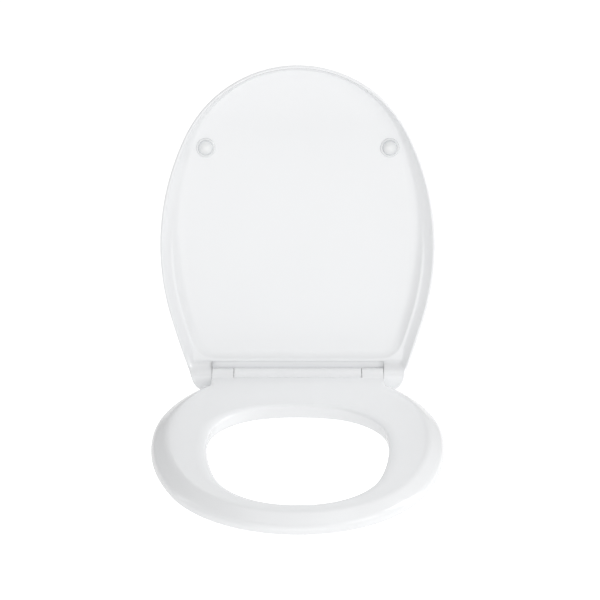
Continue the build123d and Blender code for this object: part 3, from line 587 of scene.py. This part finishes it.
EAR_COUNT, MIDDLE_COUNT, SHOULDER_COUNT = 7, 18, 44
HOLE_COUNT, HOLE_EDGE_COUNT, HOLE_FOOT_COUNT, HOLE_WALL_COUNT = 300, 9, 6, 3
TOP_COUNT = 9
TOP_REACH = 20 * MM
BEVEL_CREASE = 16 * MM
BEVEL_ROUND = 11 * MM
BEVEL_FOOT = 1.6 * MM
REAR_ROUND = 1.2 * MM
REAR_FACE = 5 * MM
REAR_SLANT = 8 * MM
CHANNEL_WALL = 13 * MM
CHANNEL_INNER = 8 * MM
CHANNEL_REAR = 25 * MM
CHANNEL_ROOF = 7 * MM
CHANNEL_EDGE = 0.6 * MM
CHANNEL_ROUND = 2 * MM
HOLE_FOOT = 3 * MM
HOLE_DRAFT = 2 * MM
HOLE_EASE = 2.5


def hole_outline(sizes):
    """Right half of the hole: front, side, corner and rear arcs, each tangent to the next, as points and normals."""
    half = sizes.lid_half_width - RING_INSET - sizes.ring_side
    reach = sizes.lid_length - RING_INSET - sizes.ring_front
    front_radius = end_radius(HOLE_SIDE_RADIUS, half, reach - HOLE_WIDEST_AT)
    front = (0.0, front_radius - reach)
    side = (half - HOLE_SIDE_RADIUS, -HOLE_WIDEST_AT)
    rear = (0.0, -sizes.hole_rear - HOLE_REAR_RADIUS)
    first, second = HOLE_SIDE_RADIUS - HOLE_CORNER_RADIUS, HOLE_REAR_RADIUS - HOLE_CORNER_RADIUS
    apart = hypot(rear[0] - side[0], rear[1] - side[1])
    along = (first**2 - second**2 + apart**2) / (2 * apart)
    corner = polar(side, first, heading(side, rear) + degrees(acos(along / first)))
    return joined([
        arc(front, front_radius, -90, heading(side, front), HOLE_COUNT),
        arc(side, HOLE_SIDE_RADIUS, heading(side, front), heading(side, corner), HOLE_COUNT),
        arc(corner, HOLE_CORNER_RADIUS, heading(side, corner), heading(rear, corner), HOLE_COUNT),
        arc(rear, HOLE_REAR_RADIUS, heading(rear, corner), 90, HOLE_COUNT, last=True),
    ])


def seen_from_middle(sizes, points):
    """Hole points and normals on the straight lines from the hole's middle to the given points."""
    hole, normal = hole_outline(sizes)
    turn = np.unwrap(np.arctan2(*(hole - HOLE_CENTRE).T[::-1]))
    asked = np.arctan2(*(points - HOLE_CENTRE).T[::-1])
    return tuple(np.transpose([np.interp(asked, turn, column) for column in rows.T]) for rows in (hole, normal))


def rounded_corner(before, corner, after, radius, count):
    """Points along a round of that radius that cuts the corner between two straight runs of a section."""
    before, corner, after = np.array([before, corner, after], float)
    back, on = before - corner, after - corner
    back, on = back / np.hypot(*back), on / np.hypot(*on)
    half, middle = acos(back @ on) / 2, back + on
    centre = corner + middle / np.hypot(*middle) * radius / sin(half)
    start = heading(centre, corner + back * radius / np.tan(half))
    turn = (heading(centre, corner + on * radius / np.tan(half)) - start + 180) % 360 - 180
    return arc(centre, radius, start, start + turn, count, last=True)[0]


def ring_edge_sections(sizes):
    """Sections from the ring's flat top round to its underside, as (inward distance, h), with 27 points each.

    bevel: crease, slope, large round and wall. ear: flat, blend, round about the hinge axis. middle: flat, rear face
    and slant. The last two count their distance as -y.
    """
    top, bottom = RING_TOP, RING_BOTTOM
    width, drop = sizes.bevel_width, sizes.bevel_drop
    far = (width + TOP_REACH, top)
    foot = (0.0, top - drop)
    bevel = np.vstack([
        rounded_corner(far, (width, top), foot, BEVEL_CREASE, 7),
        rounded_corner((width, top), foot, (0.0, bottom), BEVEL_ROUND, 14),
        rounded_corner(foot, (0.0, bottom), (width, bottom), BEVEL_FOOT, 6),
    ])
    reach = sqrt((EAR_RADIUS + EAR_BLEND) ** 2 - (top + EAR_BLEND) ** 2)
    touch = degrees(atan2(top + EAR_BLEND, reach))
    crease = bevel[0, 0] + TOP_REACH
    ear = np.vstack([
        np.linspace((crease, top), (reach, top), 5, endpoint=False),
        arc((reach, top + EAR_BLEND), EAR_BLEND, -90, touch - 180, 6)[0],
        arc((0, 0), EAR_RADIUS, touch, 270, 13)[0],
        np.linspace((0, -EAR_RADIUS), (RING_REAR, bottom), 3),
    ])
    middle = np.vstack([
        np.linspace((crease, top), (RING_REAR + 2 * MM, top), 8),
        rounded_corner(far, (RING_REAR, top), (RING_REAR, bottom), REAR_ROUND, 6),
        np.linspace((RING_REAR, 0), (RING_REAR, -REAR_FACE), 6),
        np.linspace((RING_REAR, -REAR_FACE), (RING_REAR + REAR_SLANT, bottom), 8)[1:],
    ])
    return bevel, ear, middle


def shoulder_arcs(plan, crease):
    """Points of the ring's shoulder, from the side arc to the rear: an arc for its edge and one for its crease."""
    touch = polar(plan.side, SIDE_RADIUS - RING_INSET, plan.shoulder)
    gap = touch - (SHOULDER_X, -RING_REAR)
    radius = hypot(*gap) ** 2 / (2 * gap @ polar((0, 0), 1, plan.shoulder))
    centre = polar(touch, -radius, plan.shoulder)
    end = degrees(asin((-RING_REAR - centre[1]) / radius))
    crease_end = degrees(acos((SHOULDER_X - centre[0]) / (radius - crease)))
    arcs = ((radius, end), (radius - crease, crease_end))
    return [arc(centre, size, plan.shoulder, stop, SHOULDER_COUNT, last=True)[0] for size, stop in arcs]


def ring_hollow(sizes, channel, hole, hole_normal):
    """Levels of the underside: the hollow's outer wall, roof and inner wall, and the hole's round foot and wall."""
    roof = RING_TOP - CHANNEL_ROOF
    inner = hole + CHANNEL_INNER * hole_normal
    heights = (RING_BOTTOM, RING_BOTTOM + CHANNEL_EDGE, roof - CHANNEL_ROUND)
    out = (inner - channel) / np.hypot(*(inner - channel).T)[:, None]
    across = (channel + CHANNEL_ROUND * out, (channel + inner) / 2, inner - CHANNEL_ROUND * out)
    levels = [flat(channel, h) for h in heights]
    levels += [flat(points, roof) for points in across]
    levels += [flat(inner, h) for h in reversed(heights)]
    turn = np.radians(np.linspace(90, 0, HOLE_FOOT_COUNT))
    wall = RING_TOP - RING_BOTTOM - sizes.hole_edge
    wall_rise = np.linspace(HOLE_FOOT, wall, HOLE_WALL_COUNT + 2)[1:-1]
    rise = np.r_[HOLE_FOOT * (1 - np.sin(turn)), wall_rise]
    aside = np.r_[HOLE_FOOT * (1 - np.cos(turn)), np.zeros(HOLE_WALL_COUNT)]
    aside = aside + HOLE_DRAFT * (1 - rise / wall)
    levels += [flat(hole + a * hole_normal, RING_BOTTOM + h) for a, h in zip(aside, rise)]
    return np.stack(levels, axis=1)


def ring_grid(sizes):
    """Closed skin of the ring: stations along the outline, levels round the section.

    Stations: front arc, side arc, shoulder arc, ear, and the straight rear between the ears. Levels: the hole's
    elliptical edge, wider at the sides, the flat top, the edge section, and the underside.
    """
    plan = Plan(sizes)
    bevel, ear, middle = ring_edge_sections(sizes)
    crease = bevel[0, 0]
    fore_edge, fore_normal = joined(plan.nose_and_side(RING_INSET, plan.shoulder))
    shoulder_edge, shoulder_crease = shoulder_arcs(plan, crease)
    edge = np.vstack([fore_edge, shoulder_edge])
    inner = np.vstack([fore_edge - crease * fore_normal, shoulder_crease])
    outline = edge[:, None] + (bevel[:, 0] / crease)[None, :, None] * (inner - edge)[:, None]
    rounds = [flat(outline, bevel[:, 1])]
    channel = [edge + (CHANNEL_WALL / crease) * (inner - edge)]
    tops = [inner]
    for start, stop, count, section in ((EAR_OUTER, EAR_INNER, EAR_COUNT, ear), (EAR_INNER, 0, MIDDLE_COUNT, middle)):
        x = np.linspace(start, stop, count)
        plan_points = np.stack(np.broadcast_arrays(x[:, None], -section[None, :, 0]), axis=-1)
        rounds.append(flat(plan_points, section[:, 1]))
        channel.append(np.c_[x, np.full(count, -CHANNEL_REAR)])
        tops.append(plan_points[:, 0])
    rim, channel, outer_top = (np.vstack(rows) for rows in (rounds, channel, tops))

    hole, hole_normal = seen_from_middle(sizes, outer_top)
    angle = np.linspace(0, pi / 2, HOLE_EDGE_COUNT)
    lip_out, lip_up = sizes.hole_edge * (1 - np.cos(angle)), sizes.hole_edge * (1 - np.sin(angle))
    ease = 1 + HOLE_EASE * np.abs(hole_normal[:, :1])
    lip = flat(hole[:, None] + (ease * lip_out)[..., None] * hole_normal[:, None], RING_TOP - lip_up)
    share = np.linspace(0, 1, TOP_COUNT)[1:-1, None]
    top = lip[:, -1:] + share * (rim[:, :1] - lip[:, -1:])
    return whole(np.hstack([lip, top, rim, ring_hollow(sizes, channel, hole, hole_normal)]))


# Ribs, bosses and buffers; each seat buffer is given with its turn in degrees

RIB_PLACES = (-66 * MM, 0.0, 66 * MM)
RIB_WIDTH = 3 * MM
RIB_BITE = 4 * MM
BOSS_SIZE = (36 * MM, 20 * MM)
FOOT_PAD_SIZE = (36 * MM, 14 * MM)
FOOT_PAD_STEPS = MM * np.array([(0, 0), (0, 2.2), (0.5, 2.5), (0.5, 3.2), (0, 3.5)])
FOOT_PAD_ROUND = 2 * MM
FOOT_PAD_FLAT = 4 * MM
SEAT_BUFFERS = {"front_left": -54.3, "front_right": 54.3, "rear_left": -100, "rear_right": 100}


def stadium(size, count=14):
    """Outline of a bar with round ends, as points about its middle."""
    radius, reach = size[1] / 2, (size[0] - size[1]) / 2
    ends = ((reach, -90), (-reach, 90))
    return np.vstack([arc((x, 0), radius, turn, turn + 180, count, last=True)[0] for x, turn in ends])


def block(outline, profile, place, turn):
    """Grid and poles of a closed block: an outline drawn in by each profile row's inset, at that row's height, turned
    and set in place."""
    rings = outline * (1 - profile[:, :1] / np.abs(outline).max(axis=0))[:, None]
    spin = np.array([[cos(turn), sin(turn)], [-sin(turn), cos(turn)]])
    points = rings @ spin + np.asarray(place)
    grid = np.dstack([points, np.broadcast_to(profile[:, 1:], points.shape[:2])])
    return grid, [np.append(place, profile[row, 1]) for row in (0, -1)]


def buffer_place(name):
    """Middle of a seat buffer's CAD solid, in plan."""
    return np.mean(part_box(f"{name}_seat_buffer"), axis=0)[:2]


def make_ring(sizes, material):
    """The ring with its hollow underside, and the ribs and buffer bosses inside that hollow."""
    Skin().add(ring_grid(sizes), wrap_rows=True).make("seat_shell", material, "seat", "white_shell", ["seat_ring"])
    bottom, roof = RING_BOTTOM + HINGE_HEIGHT, RING_TOP - CHANNEL_ROOF + HINGE_HEIGHT + 1 * MM
    ribs = Skin()
    profile = np.array([(0.0, roof), (0.1 * MM, bottom + 1 * MM), (0.3 * MM, bottom + 0.3 * MM), (0.9 * MM, bottom)])
    hole, _ = hole_outline(sizes)
    rear = hole[hole[:, 1] > HOLE_CENTRE[1]][::-1]
    start = CHANNEL_REAR - RIB_BITE
    for x in RIB_PLACES:
        end = np.interp(abs(x), rear[:, 0], -rear[:, 1]) - RIB_BITE
        ribs.add(*block(stadium((end - start, RIB_WIDTH), 6), profile, (x, -(end + start) / 2), pi / 2))
    for name, turn in SEAT_BUFFERS.items():
        ribs.add(*block(stadium(BOSS_SIZE), profile, buffer_place(name), radians(turn)))
    ribs.make("seat_ribs", material, "seat", "white_shell")


def make_seat_buffers(material):
    """Soft pads under the ring: round-ended bars with a rounded sole and two shallow steps."""
    angle = np.linspace(0, pi / 2, 7)
    sole = FOOT_PAD_ROUND * np.c_[1 - np.cos(angle), 1 - np.sin(angle)]
    steps = FOOT_PAD_STEPS * (1, -1) + (0, RING_BOTTOM + HINGE_HEIGHT)
    profile = np.vstack([steps, sole, [(FOOT_PAD_FLAT, 0.0)]])
    for name, turn in SEAT_BUFFERS.items():
        pad = block(stadium(FOOT_PAD_SIZE), profile, buffer_place(name), radians(turn))
        Skin().add(*pad).make(f"{name}_foot_pad", material, "seat", "soft_buffer", [f"{name}_seat_buffer"])


LID_PAD_INSET = 31.2 * MM
LID_PAD_FROM_FRONT = 110.5 * MM
LID_PAD_RIM = 1.8 * MM
LID_PAD_FLANGE = 2 * MM
LID_PAD_GROOVE = 1.4 * MM
LID_PAD_STEP = 0.2 * MM
LID_PAD_DOME = 0.76
LID_PAD_ROOM = 0.3 * MM
LID_PAD_COUNT = 64


def lid_buffer_profile(radius, height):
    """Half section of a lid buffer as (radius, height): a round flange that dips to a soft groove, and a broad dome."""
    crest, dome = radius - LID_PAD_RIM, LID_PAD_DOME * radius
    turn = np.linspace(0, pi / 2, 9)
    rim = np.c_[crest + LID_PAD_RIM * np.cos(turn), LID_PAD_FLANGE * np.sin(turn)]
    share = np.linspace(0, 1, 7)[1:]
    dip = LID_PAD_FLANGE + (LID_PAD_GROOVE - LID_PAD_FLANGE) * smooth_step(share)
    groove = np.c_[crest + (dome + LID_PAD_STEP - crest) * share, dip]
    rise = np.linspace(0.05, 1, 16)[:-1] * pi / 2
    bulb = np.c_[dome * np.cos(rise), LID_PAD_GROOVE + (height - LID_PAD_GROOVE) * np.sin(rise)]
    return np.vstack([rim, groove, bulb])


def make_lid_buffers(sizes, material):
    """Pads pressed into the lid's panel: a half section turned about each pad's own axis."""
    height = sizes.panel - RING_TOP - LID_PAD_ROOM
    profile = lid_buffer_profile(sizes.buffer_radius, height)
    around = np.linspace(0, 2 * pi, LID_PAD_COUNT, endpoint=False)
    round_ = [profile[:, :1] * np.cos(around), profile[:, :1] * np.sin(around), sizes.panel - profile[:, 1:]]
    grid = np.stack(np.broadcast_arrays(*round_), axis=-1)
    x, y = Plan(sizes).point(LID_PAD_INSET, LID_PAD_FROM_FRONT)
    for side, way in (("left", -1), ("right", 1)):
        place = np.array([way * x, y, HINGE_HEIGHT])
        poles = [opened(np.array([0, 0, sizes.panel - h]) + place) for h in (0.0, height)]
        skin = Skin().add(opened(grid + place), poles)
        skin.make(f"{side}_lid_pad", material, "lid", "soft_buffer", [f"{side}_lid_buffer"])


# Latch springs

LEAF_COUNT = 33
LEAF_THICKNESS = 0.35 * MM
LEAF_CHAMFER = 0.08 * MM


def make_latch_springs(material):
    """Leaf springs behind the release buttons: a strip whose depth grows as the square of the way from its middle.

    The strip's section is a bar with chamfered edges.
    """
    for side in ("left", "right"):
        low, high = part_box(f"{side}_latch_spring")
        way = np.linspace(-1, 1, LEAF_COUNT)[:, None]
        deep, cut = LEAF_THICKNESS, LEAF_CHAMFER
        depth = np.array([cut, deep - cut, deep, deep, deep - cut, cut, 0, 0])
        height = np.array([low.z, low.z, low.z + cut, high.z - cut, high.z, high.z, high.z - cut, low.z + cut])
        middle, half = (low.x + high.x) / 2, (high.x - low.x) / 2
        bow = high.y - low.y - deep
        grid = np.stack(np.broadcast_arrays(middle + half * way, low.y + bow * way**2 + depth, height), axis=-1)
        skin = Skin().add(grid, [grid[end].mean(axis=0) for end in (0, -1)])
        leaf = skin.make(f"{side}_latch_leaf", material, "hinge", "steel", [f"{side}_latch_spring"])
        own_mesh(leaf)


# Materials

# For each slot: the unevenness group's inputs in this order, the bump's strength, and the shader's settings
SURFACE_INPUTS = ("Slow Scale", "Fine Scale", "Fine Share", "Tint", "Gloss")
FINISHES = {
    "white_shell": ((9.0, 700.0, 0.25, 0.03, 0.2), 0.02, {"Coat Weight": 0.65, "Coat Roughness": 0.13}),
    "hinge_plastic": ((30.0, 1500.0, 0.5, 0.04, 0.32), 0.04, {}),
    "soft_buffer": ((90.0, 2200.0, 0.5, 0.06, 0.2), 0.03, {"Coat Weight": 1.0, "Coat Roughness": 0.06}),
    "damper_body": ((60.0, 2600.0, 0.7, 0.2, 0.55), 0.1, {}),
    "steel": ((70.0, 1800.0, 0.6, 0.14, 0.3), 0.05, {"Metallic": 1.0}),
    "gasket_rubber": ((60.0, 2400.0, 0.6, 0.12, 0.7), 0.12, {"Specular IOR Level": 0.3}),
    "nut_plastic": ((40.0, 1700.0, 0.5, 0.06, 0.5), 0.08, {}),
}
STRETCHES = {"steel": (1.0, 1.0, 9.0)}
# Painted shade: a soft pad's colour is multiplied towards this grey where its surface turns away from the view
PAINTED_EDGE_SHADES = {"soft_buffer": (0.74, 0.76, 0.79, 1.0)}
PAINTED_SHADE_BLEND = 0.55
GLOSS_SPREAD = 0.04
BUMP_DISTANCE = 0.5 * MM
NODE_STEP = 220
MOST_NODES = 12


def add_node(tree, kind, **values):
    """Node to the right of the last one, with its settings: attributes by name, or input sockets by their label."""
    node = tree.nodes.new(kind)
    node.location.x = NODE_STEP * (len(tree.nodes) - MOST_NODES)
    for key, value in values.items():
        if hasattr(node, key):
            setattr(node, key, value)
        else:
            node.inputs[key].default_value = value
    return node


def wire(tree, *rows):
    """Links of a tree, each given as node, output, node, input."""
    for start, output, end, socket in rows:
        tree.links.new(start.outputs[output], end.inputs[socket])


def reckon(tree, operation, *values):
    """Math node whose inputs are plain numbers, or other nodes with the output that is meant."""
    node = add_node(tree, "ShaderNodeMath", operation=operation)
    for socket, value in enumerate(values):
        if isinstance(value, tuple):
            wire(tree, (*value, node, socket))
        else:
            node.inputs[socket].default_value = value
    return node


def unevenness_group():
    """Node group for slow and fine unevenness of a moulded or worked surface.

    Out come a height for a Bump node, a tint around white for the colour and a gloss value around the given one.
    """
    group = bpy.data.node_groups.new("surface_unevenness", "ShaderNodeTree")
    for label in SURFACE_INPUTS:
        group.interface.new_socket(name=label, in_out="INPUT", socket_type="NodeSocketFloat")
    vector = group.interface.new_socket(name="Vector", in_out="INPUT", socket_type="NodeSocketVector")
    vector.hide_value = True
    for label, kind in (("Height", "Float"), ("Tint", "Color"), ("Gloss", "Float")):
        group.interface.new_socket(name=label, in_out="OUTPUT", socket_type=f"NodeSocket{kind}")
    come = add_node(group, "NodeGroupInput")
    slow = add_node(group, "ShaderNodeTexNoise", Detail=2.0, Roughness=0.45)
    fine = add_node(group, "ShaderNodeTexNoise", Detail=3.0, Roughness=0.6)
    mix = add_node(group, "ShaderNodeMix", data_type="FLOAT")
    for noise, label, socket in ((slow, "Slow Scale", 2), (fine, "Fine Scale", 3)):
        wire(group, (come, "Vector", noise, "Vector"), (come, label, noise, "Scale"), (noise, 0, mix, socket))
    centred = reckon(group, "SUBTRACT", (mix, 0), 0.5)
    tint = reckon(group, "MULTIPLY_ADD", (centred, 0), (come, "Tint"), 1.0)
    gloss = reckon(group, "MULTIPLY_ADD", (centred, 0), GLOSS_SPREAD, (come, "Gloss"))
    grey = add_node(group, "ShaderNodeCombineColor")
    leave = add_node(group, "NodeGroupOutput")
    wire(group, (come, "Fine Share", mix, 0), *((tint, 0, grey, channel) for channel in range(3)))
    wire(group, (mix, 0, leave, "Height"), (grey, 0, leave, "Tint"), (gloss, 0, leave, "Gloss"))
    return group


def new_material(name, settings):
    """Material with its node tree and its shader, whose inputs take the settings."""
    material = bpy.data.materials.new(name)
    material.use_nodes = True
    shader = material.node_tree.nodes["Principled BSDF"]
    for label, value in settings.items():
        shader.inputs[label].default_value = value
    return material, material.node_tree, shader


def finish(slot, colours):
    """Material of a slot, made once: its colour tinted, its gloss varied and its surface bumped by the unevenness.

    A soft piece also gets painted shade: its colour darkens towards the edges that turn away from the view.
    """
    name = f"{slot}_finish"
    if name in bpy.data.materials:
        return bpy.data.materials[name]
    surface, strength, settings = FINISHES[slot]
    material, tree, shader = new_material(name, settings)
    place = add_node(tree, "ShaderNodeTexCoord")
    mapping = add_node(tree, "ShaderNodeMapping", Scale=STRETCHES.get(slot, (1.0, 1.0, 1.0)))
    group = bpy.data.node_groups.get("surface_unevenness") or unevenness_group()
    uneven = add_node(tree, "ShaderNodeGroup", node_tree=group, **dict(zip(SURFACE_INPUTS, surface)))
    tinted = add_node(tree, "ShaderNodeMix", data_type="RGBA", blend_type="MULTIPLY")
    tinted.inputs[0].default_value = 1.0
    tinted.inputs[6].default_value = (*getattr(colours, slot), 1.0)
    bump = add_node(tree, "ShaderNodeBump", Strength=strength, Distance=BUMP_DISTANCE)
    wire(
        tree,
        (place, "Object", mapping, "Vector"),
        (mapping, "Vector", uneven, "Vector"),
        (uneven, "Tint", tinted, 7),
        (tinted, 2, shader, "Base Color"),
        (uneven, "Gloss", shader, "Roughness"),
        (uneven, "Height", bump, "Height"),
        (bump, "Normal", shader, "Normal"),
    )
    # Painted shade: the facing weight darkens the colour towards the edges that turn away from the view
    if slot in PAINTED_EDGE_SHADES:
        facing = add_node(tree, "ShaderNodeLayerWeight", Blend=PAINTED_SHADE_BLEND)
        edge = add_node(tree, "ShaderNodeMix", data_type="RGBA", blend_type="MULTIPLY")
        edge.inputs[7].default_value = PAINTED_EDGE_SHADES[slot]
        wire(tree, (facing, "Facing", edge, 0), (tinted, 2, edge, 6), (edge, 2, shader, "Base Color"))
    return material


def finish_hardware(colours):
    """Every CAD node that still shows gets the finish of its slot."""
    slots = {row["node"]: row["material_slot"] for row in frame["record"]["subparts"]}
    for node, piece in frame["nodes"].items():
        if not piece.hide_render:
            piece.data.materials.clear()
            piece.data.materials.append(finish(slots[node], colours))


# Stage

VIEW_TARGET = Vector((0.0, 0.305, 0.024))
VIEW_DISTANCE = 2.3786
VIEW_ELEVATION = 19.94
VIEW_LENS = 91.04
VIEW_SHIFT = (0.0037, 0.0017)
FLOOR_REACH = 14.0
FLOOR_GAP = 0.5 * MM
FLOOR_FINISH = {"Base Color": (0.5, 0.5, 0.5, 1.0), "Roughness": 0.8, "Emission Color": (1.0, 1.0, 1.0, 1.0)}
# How much the floor glows to all, and how much more to the camera, for which it is nearly white
FLOOR_GLOW = 0.47
FLOOR_SEEN_GLOW = 0.35
SURROUND = 0.476
SURROUND_COLOUR = (1.0, 0.998, 1.0, 1.0)
# Place, width and height, and power of each softbox; all face the same point
LIGHT_TARGET = Vector((0.0, 0.0, 0.15))
LIGHTS = {
    "key_softbox": ((1.9, -1.5, 1.5), (1.2, 1.2), 5.0),
    "side_softbox": ((2.4, 0.3, 1.2), (0.9, 2.0), 25.0),
    "front_softbox": ((0.0, -2.25, 0.75), (3.0, 1.8), 10.2),
    "low_softbox": ((0.0, -2.2, 0.35), (1.6, 0.9), 2.9),
    "left_softbox": ((-2.4, 0.4, 1.0), (0.5, 2.0), 2.4),
    "top_softbox": ((0.0, -0.2, 2.6), (2.2, 2.2), 7.2),
}


def make_floor():
    """Pale floor just under the lowest piece: a level square sheet."""
    low = CAD_BOX[0].z - FLOOR_GAP
    corners = [(x * FLOOR_REACH, y * FLOOR_REACH, low) for x, y in ((-1, -1), (1, -1), (1, 1), (-1, 1))]
    mesh = bpy.data.meshes.new("floor")
    mesh.from_pydata(corners, [], [range(4)])
    material, tree, shader = new_material("floor_finish", FLOOR_FINISH)
    rays = add_node(tree, "ShaderNodeLightPath")
    glow = reckon(tree, "MULTIPLY_ADD", (rays, "Is Camera Ray"), FLOOR_SEEN_GLOW, FLOOR_GLOW)
    wire(tree, (glow, 0, shader, "Emission Strength"))
    mesh.materials.append(material)
    add_object("floor", mesh)


def aim(thing, place, target):
    """Set a light or camera at a place, looking at a target."""
    thing.location = place
    thing.rotation_euler = (target - Vector(place)).to_track_quat("-Z", "Y").to_euler()


def make_stage():
    """Floor, softboxes, an even pale surround and the camera at the photograph's angle."""
    scene = bpy.context.scene
    make_floor()
    world = bpy.data.worlds.new("studio")
    world.use_nodes = True
    surround = world.node_tree.nodes["Background"]
    surround.inputs["Color"].default_value = SURROUND_COLOUR
    surround.inputs["Strength"].default_value = SURROUND
    scene.world = world
    for name, (place, size, power) in LIGHTS.items():
        lamp = bpy.data.lights.new(name, "AREA")
        lamp.shape = "RECTANGLE"
        lamp.size, lamp.size_y = size
        lamp.energy = power
        aim(add_object(name, lamp), place, LIGHT_TARGET)
    lens = bpy.data.cameras.new("camera")
    lens.lens = VIEW_LENS
    lens.shift_x, lens.shift_y = VIEW_SHIFT
    scene.camera = add_object("camera", lens)
    rise = radians(VIEW_ELEVATION)
    aim(scene.camera, VIEW_TARGET + VIEW_DISTANCE * Vector((0.0, -cos(rise), sin(rise))), VIEW_TARGET)
    scene.view_settings.view_transform = "Standard"


# Operators and sidebar


class MakeStage(bpy.types.Operator):
    """Make the floor, lights and camera"""

    bl_idname = "toilet_seat.make_stage"
    bl_label = "Make stage"

    def execute(self, context):
        make_stage()
        return {"FINISHED"}


class MakeLid(bpy.types.Operator):
    """Make the moulded lid"""

    bl_idname = "toilet_seat.make_lid"
    bl_label = "Make lid"

    def execute(self, context):
        make_lid(context.scene.seat_sizes, finish("white_shell", context.scene.seat_colours))
        return {"FINISHED"}


class MakeRing(bpy.types.Operator):
    """Make the moulded ring with its ears, ribs and bosses"""

    bl_idname = "toilet_seat.make_ring"
    bl_label = "Make ring"

    def execute(self, context):
        make_ring(context.scene.seat_sizes, finish("white_shell", context.scene.seat_colours))
        return {"FINISHED"}


class MakeBuffers(bpy.types.Operator):
    """Make the soft pads of the lid and of the ring"""

    bl_idname = "toilet_seat.make_buffers"
    bl_label = "Make buffers"

    def execute(self, context):
        material = finish("soft_buffer", context.scene.seat_colours)
        make_lid_buffers(context.scene.seat_sizes, material)
        make_seat_buffers(material)
        return {"FINISHED"}


class MakeLatchSprings(bpy.types.Operator):
    """Make the leaf springs behind the release buttons"""

    bl_idname = "toilet_seat.make_latch_springs"
    bl_label = "Make latch springs"

    def execute(self, context):
        make_latch_springs(finish("steel", context.scene.seat_colours))
        return {"FINISHED"}


class FinishHardware(bpy.types.Operator):
    """Give the hinge bar, dampers, buttons and bowl fixings their finishes"""

    bl_idname = "toilet_seat.finish_hardware"
    bl_label = "Finish hardware"

    def execute(self, context):
        finish_hardware(context.scene.seat_colours)
        return {"FINISHED"}


class SeatPanel(bpy.types.Panel):
    """Sizes, colours and steps of the toilet seat"""

    bl_idname = "VIEW3D_PT_toilet_seat"
    bl_label = "Toilet seat"
    bl_space_type = "VIEW_3D"
    bl_region_type = "UI"
    bl_category = "Toilet seat"

    def draw(self, context):
        for group in (context.scene.seat_sizes, context.scene.seat_colours):
            column = self.layout.column(align=True)
            for key in group.__annotations__:
                column.prop(group, key)
        for step in STEPS:
            self.layout.operator(step.bl_idname)


STEPS = (MakeStage, MakeLid, MakeRing, MakeBuffers, MakeLatchSprings, FinishHardware)
CLASSES = (SeatSizes, SeatColours, *STEPS, SeatPanel)


def register():
    """Register the classes and hang the settings on the scene."""
    for item in CLASSES:
        bpy.utils.register_class(item)
    bpy.types.Scene.seat_sizes = PointerProperty(type=SeatSizes)
    bpy.types.Scene.seat_colours = PointerProperty(type=SeatColours)


def unregister():
    """Take the settings and classes away again."""
    del bpy.types.Scene.seat_colours
    del bpy.types.Scene.seat_sizes
    for item in reversed(CLASSES):
        bpy.utils.unregister_class(item)


def main():
    """Make every piece in order."""
    register()
    bpy.ops.toilet_seat.make_stage()
    bpy.ops.toilet_seat.make_lid()
    bpy.ops.toilet_seat.make_ring()
    bpy.ops.toilet_seat.make_buffers()
    bpy.ops.toilet_seat.make_latch_springs()
    bpy.ops.toilet_seat.finish_hardware()


if __name__ == "__main__":
    main()
